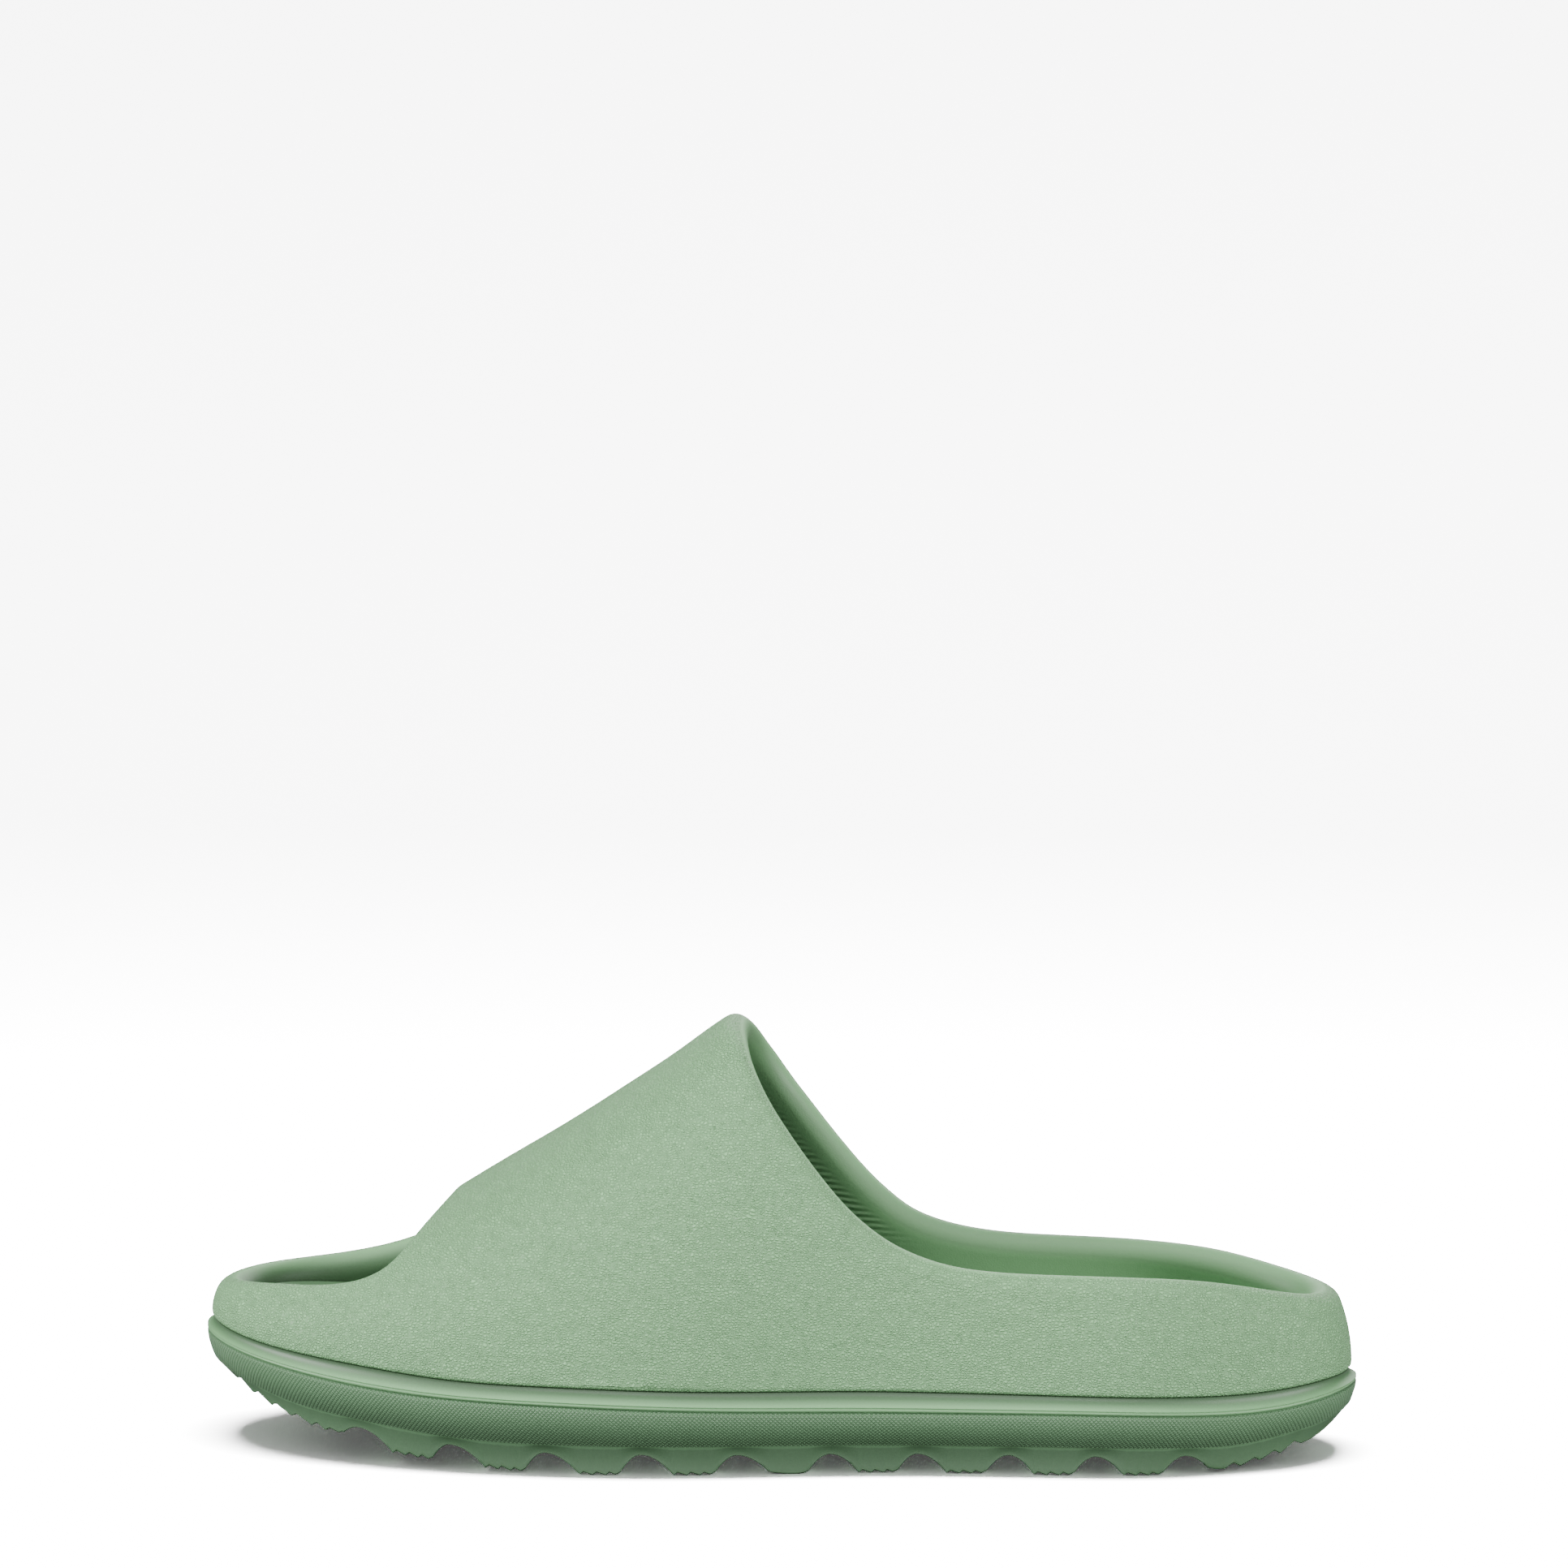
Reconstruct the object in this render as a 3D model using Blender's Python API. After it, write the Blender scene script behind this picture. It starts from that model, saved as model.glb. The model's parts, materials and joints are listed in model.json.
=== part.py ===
"""Moulded foam slide sandal, left shoe, built as four separate solids.

Frame: +X runs toe to heel, -Y is the lateral (outer) side, +Y the medial
side, +Z is up and the lugs stand on z = 0.  All sizes are metres.
"""
import math

import numpy as np

# Driving sizes
MM = 0.001
LENGTH = 0.290
WIDTH = 0.109
HEIGHT = 0.1073
TOE_CAP_RADIUS = 46.0 * MM
HEEL_CAP_RADIUS = 39.0 * MM
TOE_TIP_OFFSET = 6.7 * MM
HEEL_TIP_OFFSET = 0.2 * MM
WALL = 9.0 * MM
STRAP_WALL = 8.0 * MM
UPPER_INSET = 1.2 * MM
BASE_ROUND = 1.0 * MM
CLEARANCE = 0.3 * MM
WALL_CLEARANCE = 0.45 * MM
COVE_DEPTH = 1.6 * MM
INSOLE_THICK = 4.0 * MM
CUP_RISE = 3.0 * MM
CUP_WIDTH = 9.0 * MM

# Plan outline: x, centre line, half width (mm)
OUTLINE = (
    (-115, 4.2, 41.0),
    (-85, 1.7, 50.0),
    (-58, 0.2, 53.6),
    (-30, -0.3, 54.0),
    (-3, -2.8, 48.0),
    (23, -5.8, 40.5),
    (50, -5.4, 39.0),
    (75, -3.8, 40.6),
    (95, -2.4, 40.3),
    (120, -0.8, 32.5),
)

# Levels of the side wall: x, groove, parting line, crease, crease inset, foot inset (mm)
LEVELS = (
    (-145, 31.0, 27.6, 21.8, 1.4, 3.0),
    (-133, 28.8, 25.0, 18.0, 3.4, 4.6),
    (-118, 26.8, 22.4, 13.9, 4.4, 5.4),
    (-100, 25.0, 20.1, 11.2, 4.8, 5.9),
    (-77, 22.9, 18.4, 8.5, 4.8, 6.2),
    (-50, 22.1, 17.6, 7.6, 4.8, 6.2),
    (-13, 21.2, 16.5, 7.4, 4.8, 6.2),
    (20, 20.9, 15.9, 7.3, 4.8, 6.2),
    (50, 20.5, 15.7, 7.2, 4.8, 6.2),
    (85, 20.0, 15.6, 7.2, 4.8, 6.2),
    (103, 19.6, 15.1, 6.8, 4.8, 6.0),
    (117, 19.5, 14.8, 7.0, 4.6, 5.6),
    (130, 20.2, 15.6, 9.2, 3.8, 4.8),
    (139, 21.1, 17.1, 11.4, 2.6, 3.8),
    (145, 21.6, 18.4, 14.0, 1.3, 2.8),
)

# Lugs: front x, back x, z at front, z at back, x and z of the gap behind (mm)
LUGS = (
    (-109.5, -105.0, 7.4, 7.0, -101.1, 9.0),
    (-91.7, -81.8, 3.2, 2.1, -77.2, 6.3),
    (-68.0, -58.4, 0.9, 0.3, -53.2, 5.3),
    (-44.4, -34.8, 0.0, 0.0, -29.4, 5.2),
    (-21.3, -11.7, 0.0, 0.0, -6.0, 4.9),
    (2.3, 10.9, 0.0, 0.0, 16.6, 4.8),
    (23.6, 32.7, 0.0, 0.0, 37.9, 4.8),
    (45.2, 54.4, 0.0, 0.0, 60.3, 4.8),
    (66.6, 76.0, 0.0, 0.0, 81.6, 4.8),
    (88.6, 97.7, 0.0, 0.0, 103.5, 4.6),
    (109.4, 113.8, 0.8, 0.8, 115.2, 2.2),
)

# Small teeth: notch x and z, tip x and z (mm), toe row then heel row
TOE_TEETH = (
    (-133.4, 17.2, -129.6, 14.1),
    (-128.3, 14.7, -124.3, 11.8),
    (-123.3, 12.6, -118.7, 10.0),
    (-117.4, 10.7, -113.1, 8.3),
    (-111.7, 9.2, -109.5, 7.4),
)
HEEL_TEETH = (
    (115.2, 2.2, 116.9, 1.2),
    (120.3, 3.1, 121.6, 2.3),
    (125.1, 4.5, 126.5, 3.6),
    (130.0, 6.3, 131.6, 5.5),
)
TOE_END = ((-145.0, 22.4), (-142.0, 20.3), (-140.0, 19.2), (-137.4, 18.0), (-134.6, 16.8))
HEEL_END = ((134.0, 6.3), (136.6, 7.6), (139.0, 9.3), (141.2, 11.1), (142.6, 12.3), (145.0, 14.6))

# Spine that the closed form of the upper is drawn in to: base x, spine x, y, z, fullness (mm)
SPINE = (
    (-143.8, -104.0, 7.2, 52.6, 0.00),
    (-130.0, -101.0, 6.8, 53.6, 0.00),
    (-115.0, -95.6, 6.4, 55.4, 0.02),
    (-101.0, -88.8, 6.2, 58.4, 0.04),
    (-90.5, -81.8, 6.2, 62.6, 0.06),
    (-74.0, -68.2, 6.2, 71.0, 0.09),
    (-57.0, -52.4, 6.2, 80.5, 0.10),
    (-40.5, -37.0, 6.4, 90.5, 0.10),
    (-26.5, -24.2, 6.8, 99.2, 0.10),
    (-15.0, -13.6, 7.2, 106.8, 0.10),
    (5.0, 4.0, 5.2, 113.0, 0.06),
    (30.0, 26.0, 0.2, 110.0, 0.02),
    (60.0, 52.0, -2.8, 98.0, 0.00),
    (95.0, 80.0, -1.8, 84.0, 0.00),
    (125.0, 97.0, -0.3, 71.0, 0.00),
    (143.8, 100.0, 0.2, 66.0, 0.00),
)
# Shoulder of each opening in side view, from its tip to the ridge: x, z (mm)
TOE_EDGE_LATERAL = (
    (-143.5, 37.3), (-135.1, 39.2), (-124.5, 40.5), (-113.4, 41.4), (-105.2, 42.8), (-98.4, 45.1),
    (-93.1, 48.5), (-89.4, 52.5), (-86.8, 56.1))
TOE_EDGE_MEDIAL = (
    (-143.5, 37.3), (-135.0, 38.1), (-124.0, 38.8), (-112.6, 40.0), (-104.5, 41.7), (-98.0, 43.7),
    (-92.0, 46.6), (-88.2, 50.7), (-85.8, 55.0))
COLLAR_EDGE_LATERAL = (
    (143.0, 38.2), (135.1, 39.0), (123.5, 41.4), (112.2, 43.6), (98.9, 45.0), (85.1, 45.5),
    (69.3, 45.7), (55.7, 46.2), (45.8, 47.5), (37.6, 49.9), (30.1, 53.5), (23.6, 58.2),
    (17.7, 63.8), (12.1, 70.4), (7.0, 77.0), (2.0, 83.8), (-2.4, 89.9), (-6.3, 95.6),
    (-9.4, 100.2), (-11.6, 103.6), (-13.0, 105.7))
COLLAR_EDGE_MEDIAL = (
    (143.0, 38.2), (135.0, 39.0), (123.1, 41.2), (111.6, 43.3), (98.1, 44.4), (84.2, 45.0),
    (68.5, 45.6), (55.0, 46.4), (45.2, 47.8), (37.3, 49.9), (30.4, 53.1), (24.6, 57.7),
    (19.6, 62.7), (14.3, 68.9), (9.4, 75.0), (4.2, 81.8), (-0.3, 87.8), (-4.7, 94.2),
    (-8.4, 99.4), (-11.2, 103.4), (-13.0, 105.7))
TOE_RIDGE_X = -81.1 * MM
COLLAR_RIDGE_X = -13.6 * MM
# Footbed: x, height of the insole surface at the centre (mm)
FOOTBED = (
    (-134.0, 33.6),
    (-115.0, 31.2),
    (-90.0, 29.3),
    (-60.0, 28.9),
    (-30.0, 29.9),
    (0.0, 31.6),
    (30.0, 32.8),
    (70.0, 32.8),
    (105.0, 32.6),
    (134.0, 33.4),
)
# Columns of the upper: round the toe opening, along the strap, round the collar
EDGE_STEPS = (22, 10, 36)
# Spread of the foot of the columns from each corner of the strap, in angle
TOE_LEAN = 0.13
COLLAR_LEAN = 0.16
INSIDE_COLUMNS = 44
OUTER_ROWS = 7
RIM_ROWS = 4


def column(table, index):
    """One column of a table as an array."""
    return np.array([row[index] for row in table], float)


def spline(xs, ys, query):
    """Natural cubic spline through (xs, ys), read at query."""
    xs = np.asarray(xs, float)
    ys = np.asarray(ys, float)
    query = np.asarray(query, float)
    count = len(xs)
    step = np.diff(xs)
    slope = np.diff(ys) / step
    matrix = np.zeros((count, count))
    right = np.zeros(count)
    matrix[0, 0] = matrix[-1, -1] = 1.0
    for i in range(1, count - 1):
        matrix[i, i - 1] = step[i - 1]
        matrix[i, i] = 2.0 * (step[i - 1] + step[i])
        matrix[i, i + 1] = step[i]
        right[i] = 6.0 * (slope[i] - slope[i - 1])
    bend = np.linalg.solve(matrix, right)
    i = np.clip(np.searchsorted(xs, query) - 1, 0, count - 2)
    t = query - xs[i]
    h = step[i]
    return (ys[i] + t * (slope[i] - h * (2.0 * bend[i] + bend[i + 1]) / 6.0)
            + t * t * bend[i] / 2.0 + t ** 3 * (bend[i + 1] - bend[i]) / (6.0 * h))


def unit(vectors):
    """Vectors scaled to length one."""
    return vectors / np.maximum(np.linalg.norm(vectors, axis=-1, keepdims=True), 1e-12)


# The tables are drawn for a slide of 290 x 109 x 107.3 mm and are stretched to the sizes above
HALF = LENGTH / 2.0
STRETCH = LENGTH / (290.0 * MM)
WIDTH_SCALE = WIDTH / (109.0 * MM)
HEIGHT_SCALE = HEIGHT / (107.3 * MM)


def turn_of(x, inset=0.0):
    """Angle round the plan, 0 at the toe tip and pi at the heel tip, of a column at x."""
    return np.arccos(np.clip(-np.asarray(x, float) / (HALF - inset), -1.0, 1.0))


OUTLINE_TURN = turn_of(column(OUTLINE, 0) * MM * STRETCH)
TURNS = np.concatenate([[0.0], OUTLINE_TURN, [math.pi]])
FULLNESS = np.concatenate([
    [math.sqrt(TOE_CAP_RADIUS * HALF)],
    column(OUTLINE, 2) * MM * WIDTH_SCALE / np.sin(OUTLINE_TURN),
    [math.sqrt(HEEL_CAP_RADIUS * HALF)]])
CENTRES = np.concatenate([[TOE_TIP_OFFSET], column(OUTLINE, 1) * MM * WIDTH_SCALE, [HEEL_TIP_OFFSET]])


def plan(turn, inset, side):
    """Plan point at an angle: x = -(half length - inset) cos, y = centre +- (fullness - inset) sin."""
    wide = spline(TURNS, FULLNESS, turn) - inset
    x = -(HALF - inset) * np.cos(turn)
    y = spline(TURNS, CENTRES, turn) + side * wide * np.sin(turn)
    return np.stack([x, y], axis=-1)


def level(x, index):
    """A height or inset of the LEVELS table at x."""
    scale = MM * (HEIGHT_SCALE if index < 4 else 1.0)
    return spline(column(LEVELS, 0) * MM * STRETCH, column(LEVELS, index) * scale, x)


def tread_points():
    """Profile of the tread along x as (x, z) rows: toe teeth, lugs with rounded gaps, heel teeth."""
    rows = list(TOE_END)
    for notch_x, notch_z, tip_x, tip_z in TOE_TEETH[:-1]:
        rows.append((notch_x, notch_z))
        rows.append((tip_x, tip_z))
    rows.append(TOE_TEETH[-1][:2])
    for i, (front, back, z_front, z_back, gap_x, gap_z) in enumerate(LUGS):
        rows.append((front, z_front))
        rows.append((back, z_back))
        if i + 1 == len(LUGS):
            continue
        ahead = LUGS[i + 1]
        for share, lift in ((0.38, 0.55), (0.74, 0.90)):
            rows.append((back + share * (gap_x - back), z_back + lift * (gap_z - z_back)))
        rows.append((gap_x, gap_z))
        for share, lift in ((0.20, 0.92), (0.52, 0.56)):
            rows.append((gap_x + share * (ahead[0] - gap_x), ahead[2] + lift * (gap_z - ahead[2])))
    for notch_x, notch_z, tip_x, tip_z in HEEL_TEETH:
        rows.append((notch_x, notch_z))
        rows.append((tip_x, tip_z))
    rows.extend(HEEL_END)
    return np.array(rows) * np.array([MM * STRETCH, MM * HEIGHT_SCALE])


def tread(x):
    """Height of the tread at x."""
    rows = tread_points()
    return np.interp(x, rows[:, 0], rows[:, 1])


def spine(turn):
    """Spine point (x, y, z) and fullness of the closed form at an angle."""
    base = column(SPINE, 0) * MM * STRETCH
    knots = turn_of(base, UPPER_INSET)
    knots[0] = 0.0
    knots[-1] = math.pi
    x = spline(knots, column(SPINE, 1) * MM * STRETCH, turn)
    y = spline(knots, column(SPINE, 2) * MM * WIDTH_SCALE, turn)
    z = spline(knots, column(SPINE, 3) * MM * HEIGHT_SCALE, turn)
    return np.stack([x, y, z], axis=-1), spline(knots, column(SPINE, 4), turn)


def foot_line(turn, side):
    """Outline that the upper starts from, just above the groove."""
    flat = plan(turn, UPPER_INSET, side)
    z = level(flat[..., 0], 1) + CLEARANCE + BASE_ROUND
    return np.concatenate([flat, z[..., None]], axis=-1)


def lean_power(turn):
    """Power of the pull along x: one at the tips, two along the strap."""
    return 1.0 + np.clip(2.7 * np.sin(turn) ** 4, 0.0, 1.0)


def dome(turn, lift, side):
    """Closed form of the upper, as over a last: a quarter ellipse per angle, from base to spine.

    At lift a the plan point is spine + (base - spine) p, p = cos a (1 + fullness sin^2 a), and the
    height is base + (spine - base) sin a.  Along x the pull is p^lean, so the ridge has no crease.
    """
    base = foot_line(turn, side)
    top, full = spine(turn)
    pull = np.clip(np.cos(lift), 0.0, None) * (1.0 + full * np.sin(lift) ** 2)
    point = top + (base - top) * pull[..., None]
    point[..., 0] = top[..., 0] + (base[..., 0] - top[..., 0]) * pull ** lean_power(turn)
    point[..., 2] = base[..., 2] + (top[..., 2] - base[..., 2]) * np.sin(lift)
    return point


def dome_normal(turn, lift, side):
    """Outward normal of the closed form by small differences."""
    fine = 2e-4
    along = dome(turn + fine, lift, side) - dome(turn - fine, lift, side)
    low = np.clip(lift - fine, None, math.pi / 2 - fine)
    high = np.clip(lift + fine, None, math.pi / 2)
    rise = dome(turn, high, side) - dome(turn, low, side)
    normal = unit(np.cross(rise, along)) * side
    level_top = np.stack([-along[..., 2], np.zeros_like(lift), along[..., 0]], axis=-1)
    return np.where((lift > math.pi / 2 - 1e-7)[..., None], unit(level_top), normal)


def side_solve(x, z, side):
    """Angle and lift of the point of the closed form that lies at x and z in side view."""
    turns = np.linspace(0.0, math.pi, 2001)
    base = foot_line(turns, side)
    top, full = spine(turns)
    found = []
    for at_x, at_z in zip(x, z):
        share = np.clip((at_z - base[:, 2]) / (top[:, 2] - base[:, 2]), 0.0, 1.0)
        pull = np.sqrt(1.0 - share ** 2) * (1.0 + full * share ** 2)
        xs = top[:, 0] + (base[:, 0] - top[:, 0]) * pull ** lean_power(turns)
        turn = np.interp(at_x, xs, turns)
        rise = np.interp(turn, turns, share)
        found.append((turn, math.asin(rise)))
    return np.array(found)


def edge_knots(end, side):
    """Knots of one side of an opening as angle and lift, from its tip to the ridge."""
    tables = ((TOE_EDGE_LATERAL, TOE_EDGE_MEDIAL), (COLLAR_EDGE_LATERAL, COLLAR_EDGE_MEDIAL))
    table = tables[end][0 if side < 0 else 1]
    x = column(table, 0) * MM * STRETCH
    z = column(table, 1) * MM * HEIGHT_SCALE
    found = side_solve(x, z, side)
    tip = math.pi if end else 0.0
    base = foot_line(np.array([tip]), side)[0]
    top = spine(np.array([tip]))[0][0]
    found[0] = (tip, math.asin((z[0] - base[2]) / (top[2] - base[2])))
    turns = np.linspace(0.0, math.pi, 4001)
    ridge_x = (TOE_RIDGE_X, COLLAR_RIDGE_X)[end] * STRETCH
    corner = np.interp(ridge_x, spine(turns)[0][:, 0], turns)
    return np.vstack([found, [corner, math.pi / 2]])


def edge_curve(end, side, count):
    """Angle and lift along one side of an opening, evenly by length, and the run of the edge.

    The knots of both sides are joined into one closed loop, so the rim has no corner.
    """
    here = edge_knots(end, side)
    there = edge_knots(end, -side)
    tip = math.pi if end else 0.0
    before = there[1:4][::-1].copy()
    before[:, 0] = 2.0 * tip - before[:, 0]
    after = there[-4:-1][::-1].copy()
    after[:, 1] = math.pi - after[:, 1]
    knots = np.vstack([before, here, after])
    points = dome(np.where(knots[:, 0] < 0, -knots[:, 0], knots[:, 0]), knots[:, 1], side)
    points[:3] = dome(there[1:4][::-1][:, 0], there[1:4][::-1][:, 1], -side)
    points[-3:] = dome(there[-4:-1][::-1][:, 0], there[-4:-1][::-1][:, 1], -side)
    length = np.concatenate([[0.0], np.cumsum(np.linalg.norm(np.diff(points, axis=0), axis=1))])
    start = length[3]
    stop = length[-4]
    where = np.linspace(start, stop, count + 1)
    turn = spline(length, knots[:, 0], where)
    lift = spline(length, knots[:, 1], where)
    turn[0] = tip
    lift[-1] = math.pi / 2
    fine = 2e-5
    run = (np.stack([spline(length, points[:, i], where + fine) for i in range(3)], axis=-1)
           - np.stack([spline(length, points[:, i], where - fine) for i in range(3)], axis=-1))
    run = unit(run)
    run[0] = (0.0, side, 0.0)
    run[-1] = (0.0, -side, 0.0)
    return turn, lift, run


def upper_half(side, steps, rows):
    """Outer grid of one half: columns at the edge angles, rows by lift, with normals and rim directions."""
    toe_turn, toe_lift, toe_run = edge_curve(0, side, steps[0])
    back_turn, back_lift, back_run = edge_curve(1, side, steps[2])
    share = np.linspace(0.0, 1.0, steps[1] + 1)[1:-1]
    mid_turn = toe_turn[-1] + share * (back_turn[-1] - toe_turn[-1])
    turn = np.concatenate([toe_turn, mid_turn, back_turn[::-1]])
    lean = np.concatenate([
        TOE_LEAN * np.linspace(0.0, 1.0, steps[0] + 1) ** 4,
        TOE_LEAN - (TOE_LEAN + COLLAR_LEAN) * share,
        -COLLAR_LEAN * np.linspace(1.0, 0.0, steps[2] + 1) ** 6])
    top = np.concatenate([toe_lift, np.full(len(mid_turn), math.pi / 2), back_lift[::-1]])
    run = np.concatenate([toe_run, np.zeros((len(mid_turn), 3)), -back_run[::-1]])
    lifts = top[:, None] * np.linspace(0.0, 1.0, rows + 1)[None, :]
    turns = turn[:, None] + lean[:, None] * np.linspace(1.0, 0.0, rows + 1)[None, :]
    grid = dome(turns, lifts, side)
    normal = dome_normal(turns, lifts, side)
    for spot in (0, -1):
        normal[spot, :, 1] = 0.0
    ridge_row = top > math.pi / 2 - 1e-9
    normal[ridge_row, -1, 1] = 0.0
    normal = unit(normal)
    has_rim = np.linalg.norm(run, axis=1) > 0.5
    rim = np.zeros((len(turn), 3))
    edge_normal = normal[:, -1]
    rim[has_rim] = unit(np.cross(edge_normal[has_rim], run[has_rim]) * -side)
    return turn, grid, normal, rim


def wall_at(turn):
    """Thickness of the upper: thinner in the strap than in the side walls."""
    x = -HALF * np.cos(turn)
    xs = np.array([-118.0, -92.0, 0.0, 34.0]) * MM * STRETCH
    return np.interp(x, xs, np.array([WALL, STRAP_WALL, STRAP_WALL, WALL]))


def inner_half(turn, grid, normal, rows):
    """Inner surface: the outer one moved in by the wall."""
    v = np.linspace(0.0, 1.0, rows + 1)
    wall = WALL + (wall_at(turn)[:, None] - WALL) * np.clip(v * 1.5, 0, 1)[None, :]
    return grid - normal * wall[:, :, None]


def wall_point(line, z):
    """Plan position of the inner wall at height z, read along one column of the inner surface."""
    return np.array([np.interp(z, line[:, 2], line[:, 0]), np.interp(z, line[:, 2], line[:, 1])])


def footbed(x):
    """Height of the insole surface at its centre."""
    return spline(column(FOOTBED, 0) * MM * STRETCH, column(FOOTBED, 1) * MM * HEIGHT_SCALE, x)


def upper_data():
    """Both halves of the upper: angle, outer grid, inner grid, normals, rim directions."""
    data = {}
    for side in (-1, 1):
        turn, grid, normal, rim = upper_half(side, EDGE_STEPS, OUTER_ROWS)
        inner = inner_half(turn, grid, normal, OUTER_ROWS)
        data[side] = (turn, grid, inner, normal, rim)
    return data


def outward(turn, side):
    """Outward direction of the base outline in plan."""
    fine = 1e-4
    run = unit(plan(turn + fine, UPPER_INSET, side) - plan(turn - fine, UPPER_INSET, side))
    out = np.stack([run[:, 1], -run[:, 0]], axis=-1) * -side
    out[0] = (-1.0, 0.0)
    out[-1] = (1.0, 0.0)
    return out


def inside_rings(heights, shifts):
    """Rings that follow the inner wall of the upper, moved in by shifts, at the given heights."""
    rings = {}
    turn = np.linspace(0.0, math.pi, INSIDE_COLUMNS + 1)
    for side in (-1, 1):
        rows = 24
        lifts = np.repeat(np.linspace(0.0, 0.9, rows + 1)[None, :], len(turn), axis=0)
        turns = np.repeat(turn[:, None], rows + 1, axis=1)
        normal = dome_normal(turns, lifts, side)
        for spot in (0, -1):
            normal[spot, :, 1] = 0.0
        inner = dome(turns, lifts, side) - unit(normal) * WALL
        out = outward(turn, side)
        rows = []
        for height, shift in zip(heights, shifts):
            points = []
            for i in range(len(turn)):
                spot = inner[i, 0, :2]
                for _ in range(4):
                    spot = wall_point(inner[i], height(spot[0])) - out[i] * shift
                points.append((spot[0], spot[1], height(spot[0])))
            rows.append(points)
        rings[side] = np.array(rows)
    return turn, rings


def upper_solid():
    """Hollow shell: outer and inner surfaces, round rims at both openings, flat foot."""
    data = upper_data()
    quads = []
    for side in (-1, 1):
        turn, grid, inner, across, rim_e = data[side]
        count = len(turn)
        foot = np.concatenate([plan(turn, UPPER_INSET + BASE_ROUND, side), np.zeros((count, 1))], axis=1)
        foot[:, 2] = level(foot[:, 0], 1) + CLEARANCE
        inside = inner[:, 0].copy()
        inside[:, 2] = level(inside[:, 0], 1) + CLEARANCE
        rows = [inside, foot] + [grid[:, j] for j in range(OUTER_ROWS + 1)]
        strip(quads, rows, range(count - 1))
        rows = [inner[:, j] for j in range(OUTER_ROWS, -1, -1)] + [inside]
        strip(quads, rows, range(count - 1))
        radius = wall_at(turn)[:, None] / 2.0
        centre = grid[:, -1] - across[:, -1] * radius
        rows = []
        for angle in np.linspace(0.0, math.pi, RIM_ROWS + 1):
            rows.append(centre + radius * (math.cos(angle) * across[:, -1] + math.sin(angle) * rim_e))
        rows[0] = grid[:, -1]
        rows[-1] = inner[:, -1]
        has_rim = np.linalg.norm(rim_e, axis=1) > 0.5
        spans = [i for i in range(count - 1) if has_rim[i] and has_rim[i + 1]]
        strip(quads, rows, spans)
    return quads


def strip(quads, rows, spans):
    """Quads between neighbouring rows of points over the given columns."""
    for low, high in zip(rows[:-1], rows[1:]):
        for i in spans:
            quads.append((tuple(low[i]), tuple(low[i + 1]), tuple(high[i + 1]), tuple(high[i])))


def lid(quads, lateral, medial):
    """Quads straight across from the lateral to the medial side of a ring."""
    for i in range(len(lateral) - 1):
        quads.append((tuple(lateral[i]), tuple(lateral[i + 1]), tuple(medial[i + 1]), tuple(medial[i])))


def ring(turn, inset, height, side):
    """Ring of points on an inset outline at a height that depends on x."""
    flat = plan(turn, inset, side)
    return np.concatenate([flat, height(flat[:, 0])[:, None]], axis=1)


def outsole_turns():
    """Columns of the outsole: one at each corner of the tread."""
    xs = tread_points()[1:-1, 0]
    inset = level(xs, 5)
    turns = turn_of(xs, inset)
    return np.concatenate([[0.0], turns[(turns > 0.02) & (turns < math.pi - 0.02)], [math.pi]])


def outsole_solid():
    """Side wall that curls under to the crease, then the skirt and lugs of the tread."""
    turn = outsole_turns()
    quads = []
    sides = {}
    for side in (-1, 1):
        at = -HALF * np.cos(turn)
        crease_inset = level(at, 4)
        rows = [ring(turn, 0.4 * MM, lambda x: level(x, 2), side)]
        for share in (0.08, 0.34, 0.60, 0.82, 1.0):
            curl = (1.0 - math.cos(math.radians(75.0) * share)) / (1.0 - math.cos(math.radians(75.0)))
            rows.append(ring(turn, crease_inset * curl,
                             lambda x, share=share: level(x, 2) + share * (level(x, 3) - level(x, 2)), side))
        foot_x = -HALF * np.cos(turn)
        for _ in range(6):
            foot_inset = level(foot_x, 5)
            foot_x = -(HALF - foot_inset) * np.cos(turn)
        rows.append(ring(turn, foot_inset, tread, side))
        strip(quads, rows, range(len(turn) - 1))
        sides[side] = rows
    lid(quads, sides[-1][0], sides[1][0])
    lid(quads, sides[-1][-1], sides[1][-1])
    return quads


def midsole_solid():
    """Band with a bulged lower half and a cove above it, and the core that fills the upper's foot."""
    core_top = lambda x: footbed(x) - INSOLE_THICK - CLEARANCE
    groove = lambda x: level(x, 1)
    turn, core = inside_rings((groove, core_top), (WALL_CLEARANCE, WALL_CLEARANCE))
    quads = []
    sides = {}
    for side in (-1, 1):
        rows = []
        profile = ((0.5 * MM, 0.0), (0.0, 0.13), (0.0, 0.50), (0.22 * COVE_DEPTH, 0.60),
                   (0.76 * COVE_DEPTH, 0.76), (1.1 * COVE_DEPTH, 1.0))
        for inset, share in profile:
            lift = CLEARANCE * (1.0 - share)
            rows.append(ring(turn, inset, lambda x, share=share, lift=lift:
                             level(x, 2) + lift + share * (level(x, 1) - level(x, 2)), side))
        rows.append(core[side][0])
        rows.append(core[side][1])
        strip(quads, rows, range(len(turn) - 1))
        sides[side] = rows
    lid(quads, sides[-1][0], sides[1][0])
    lid(quads, sides[-1][-1], sides[1][-1])
    return quads


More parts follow.
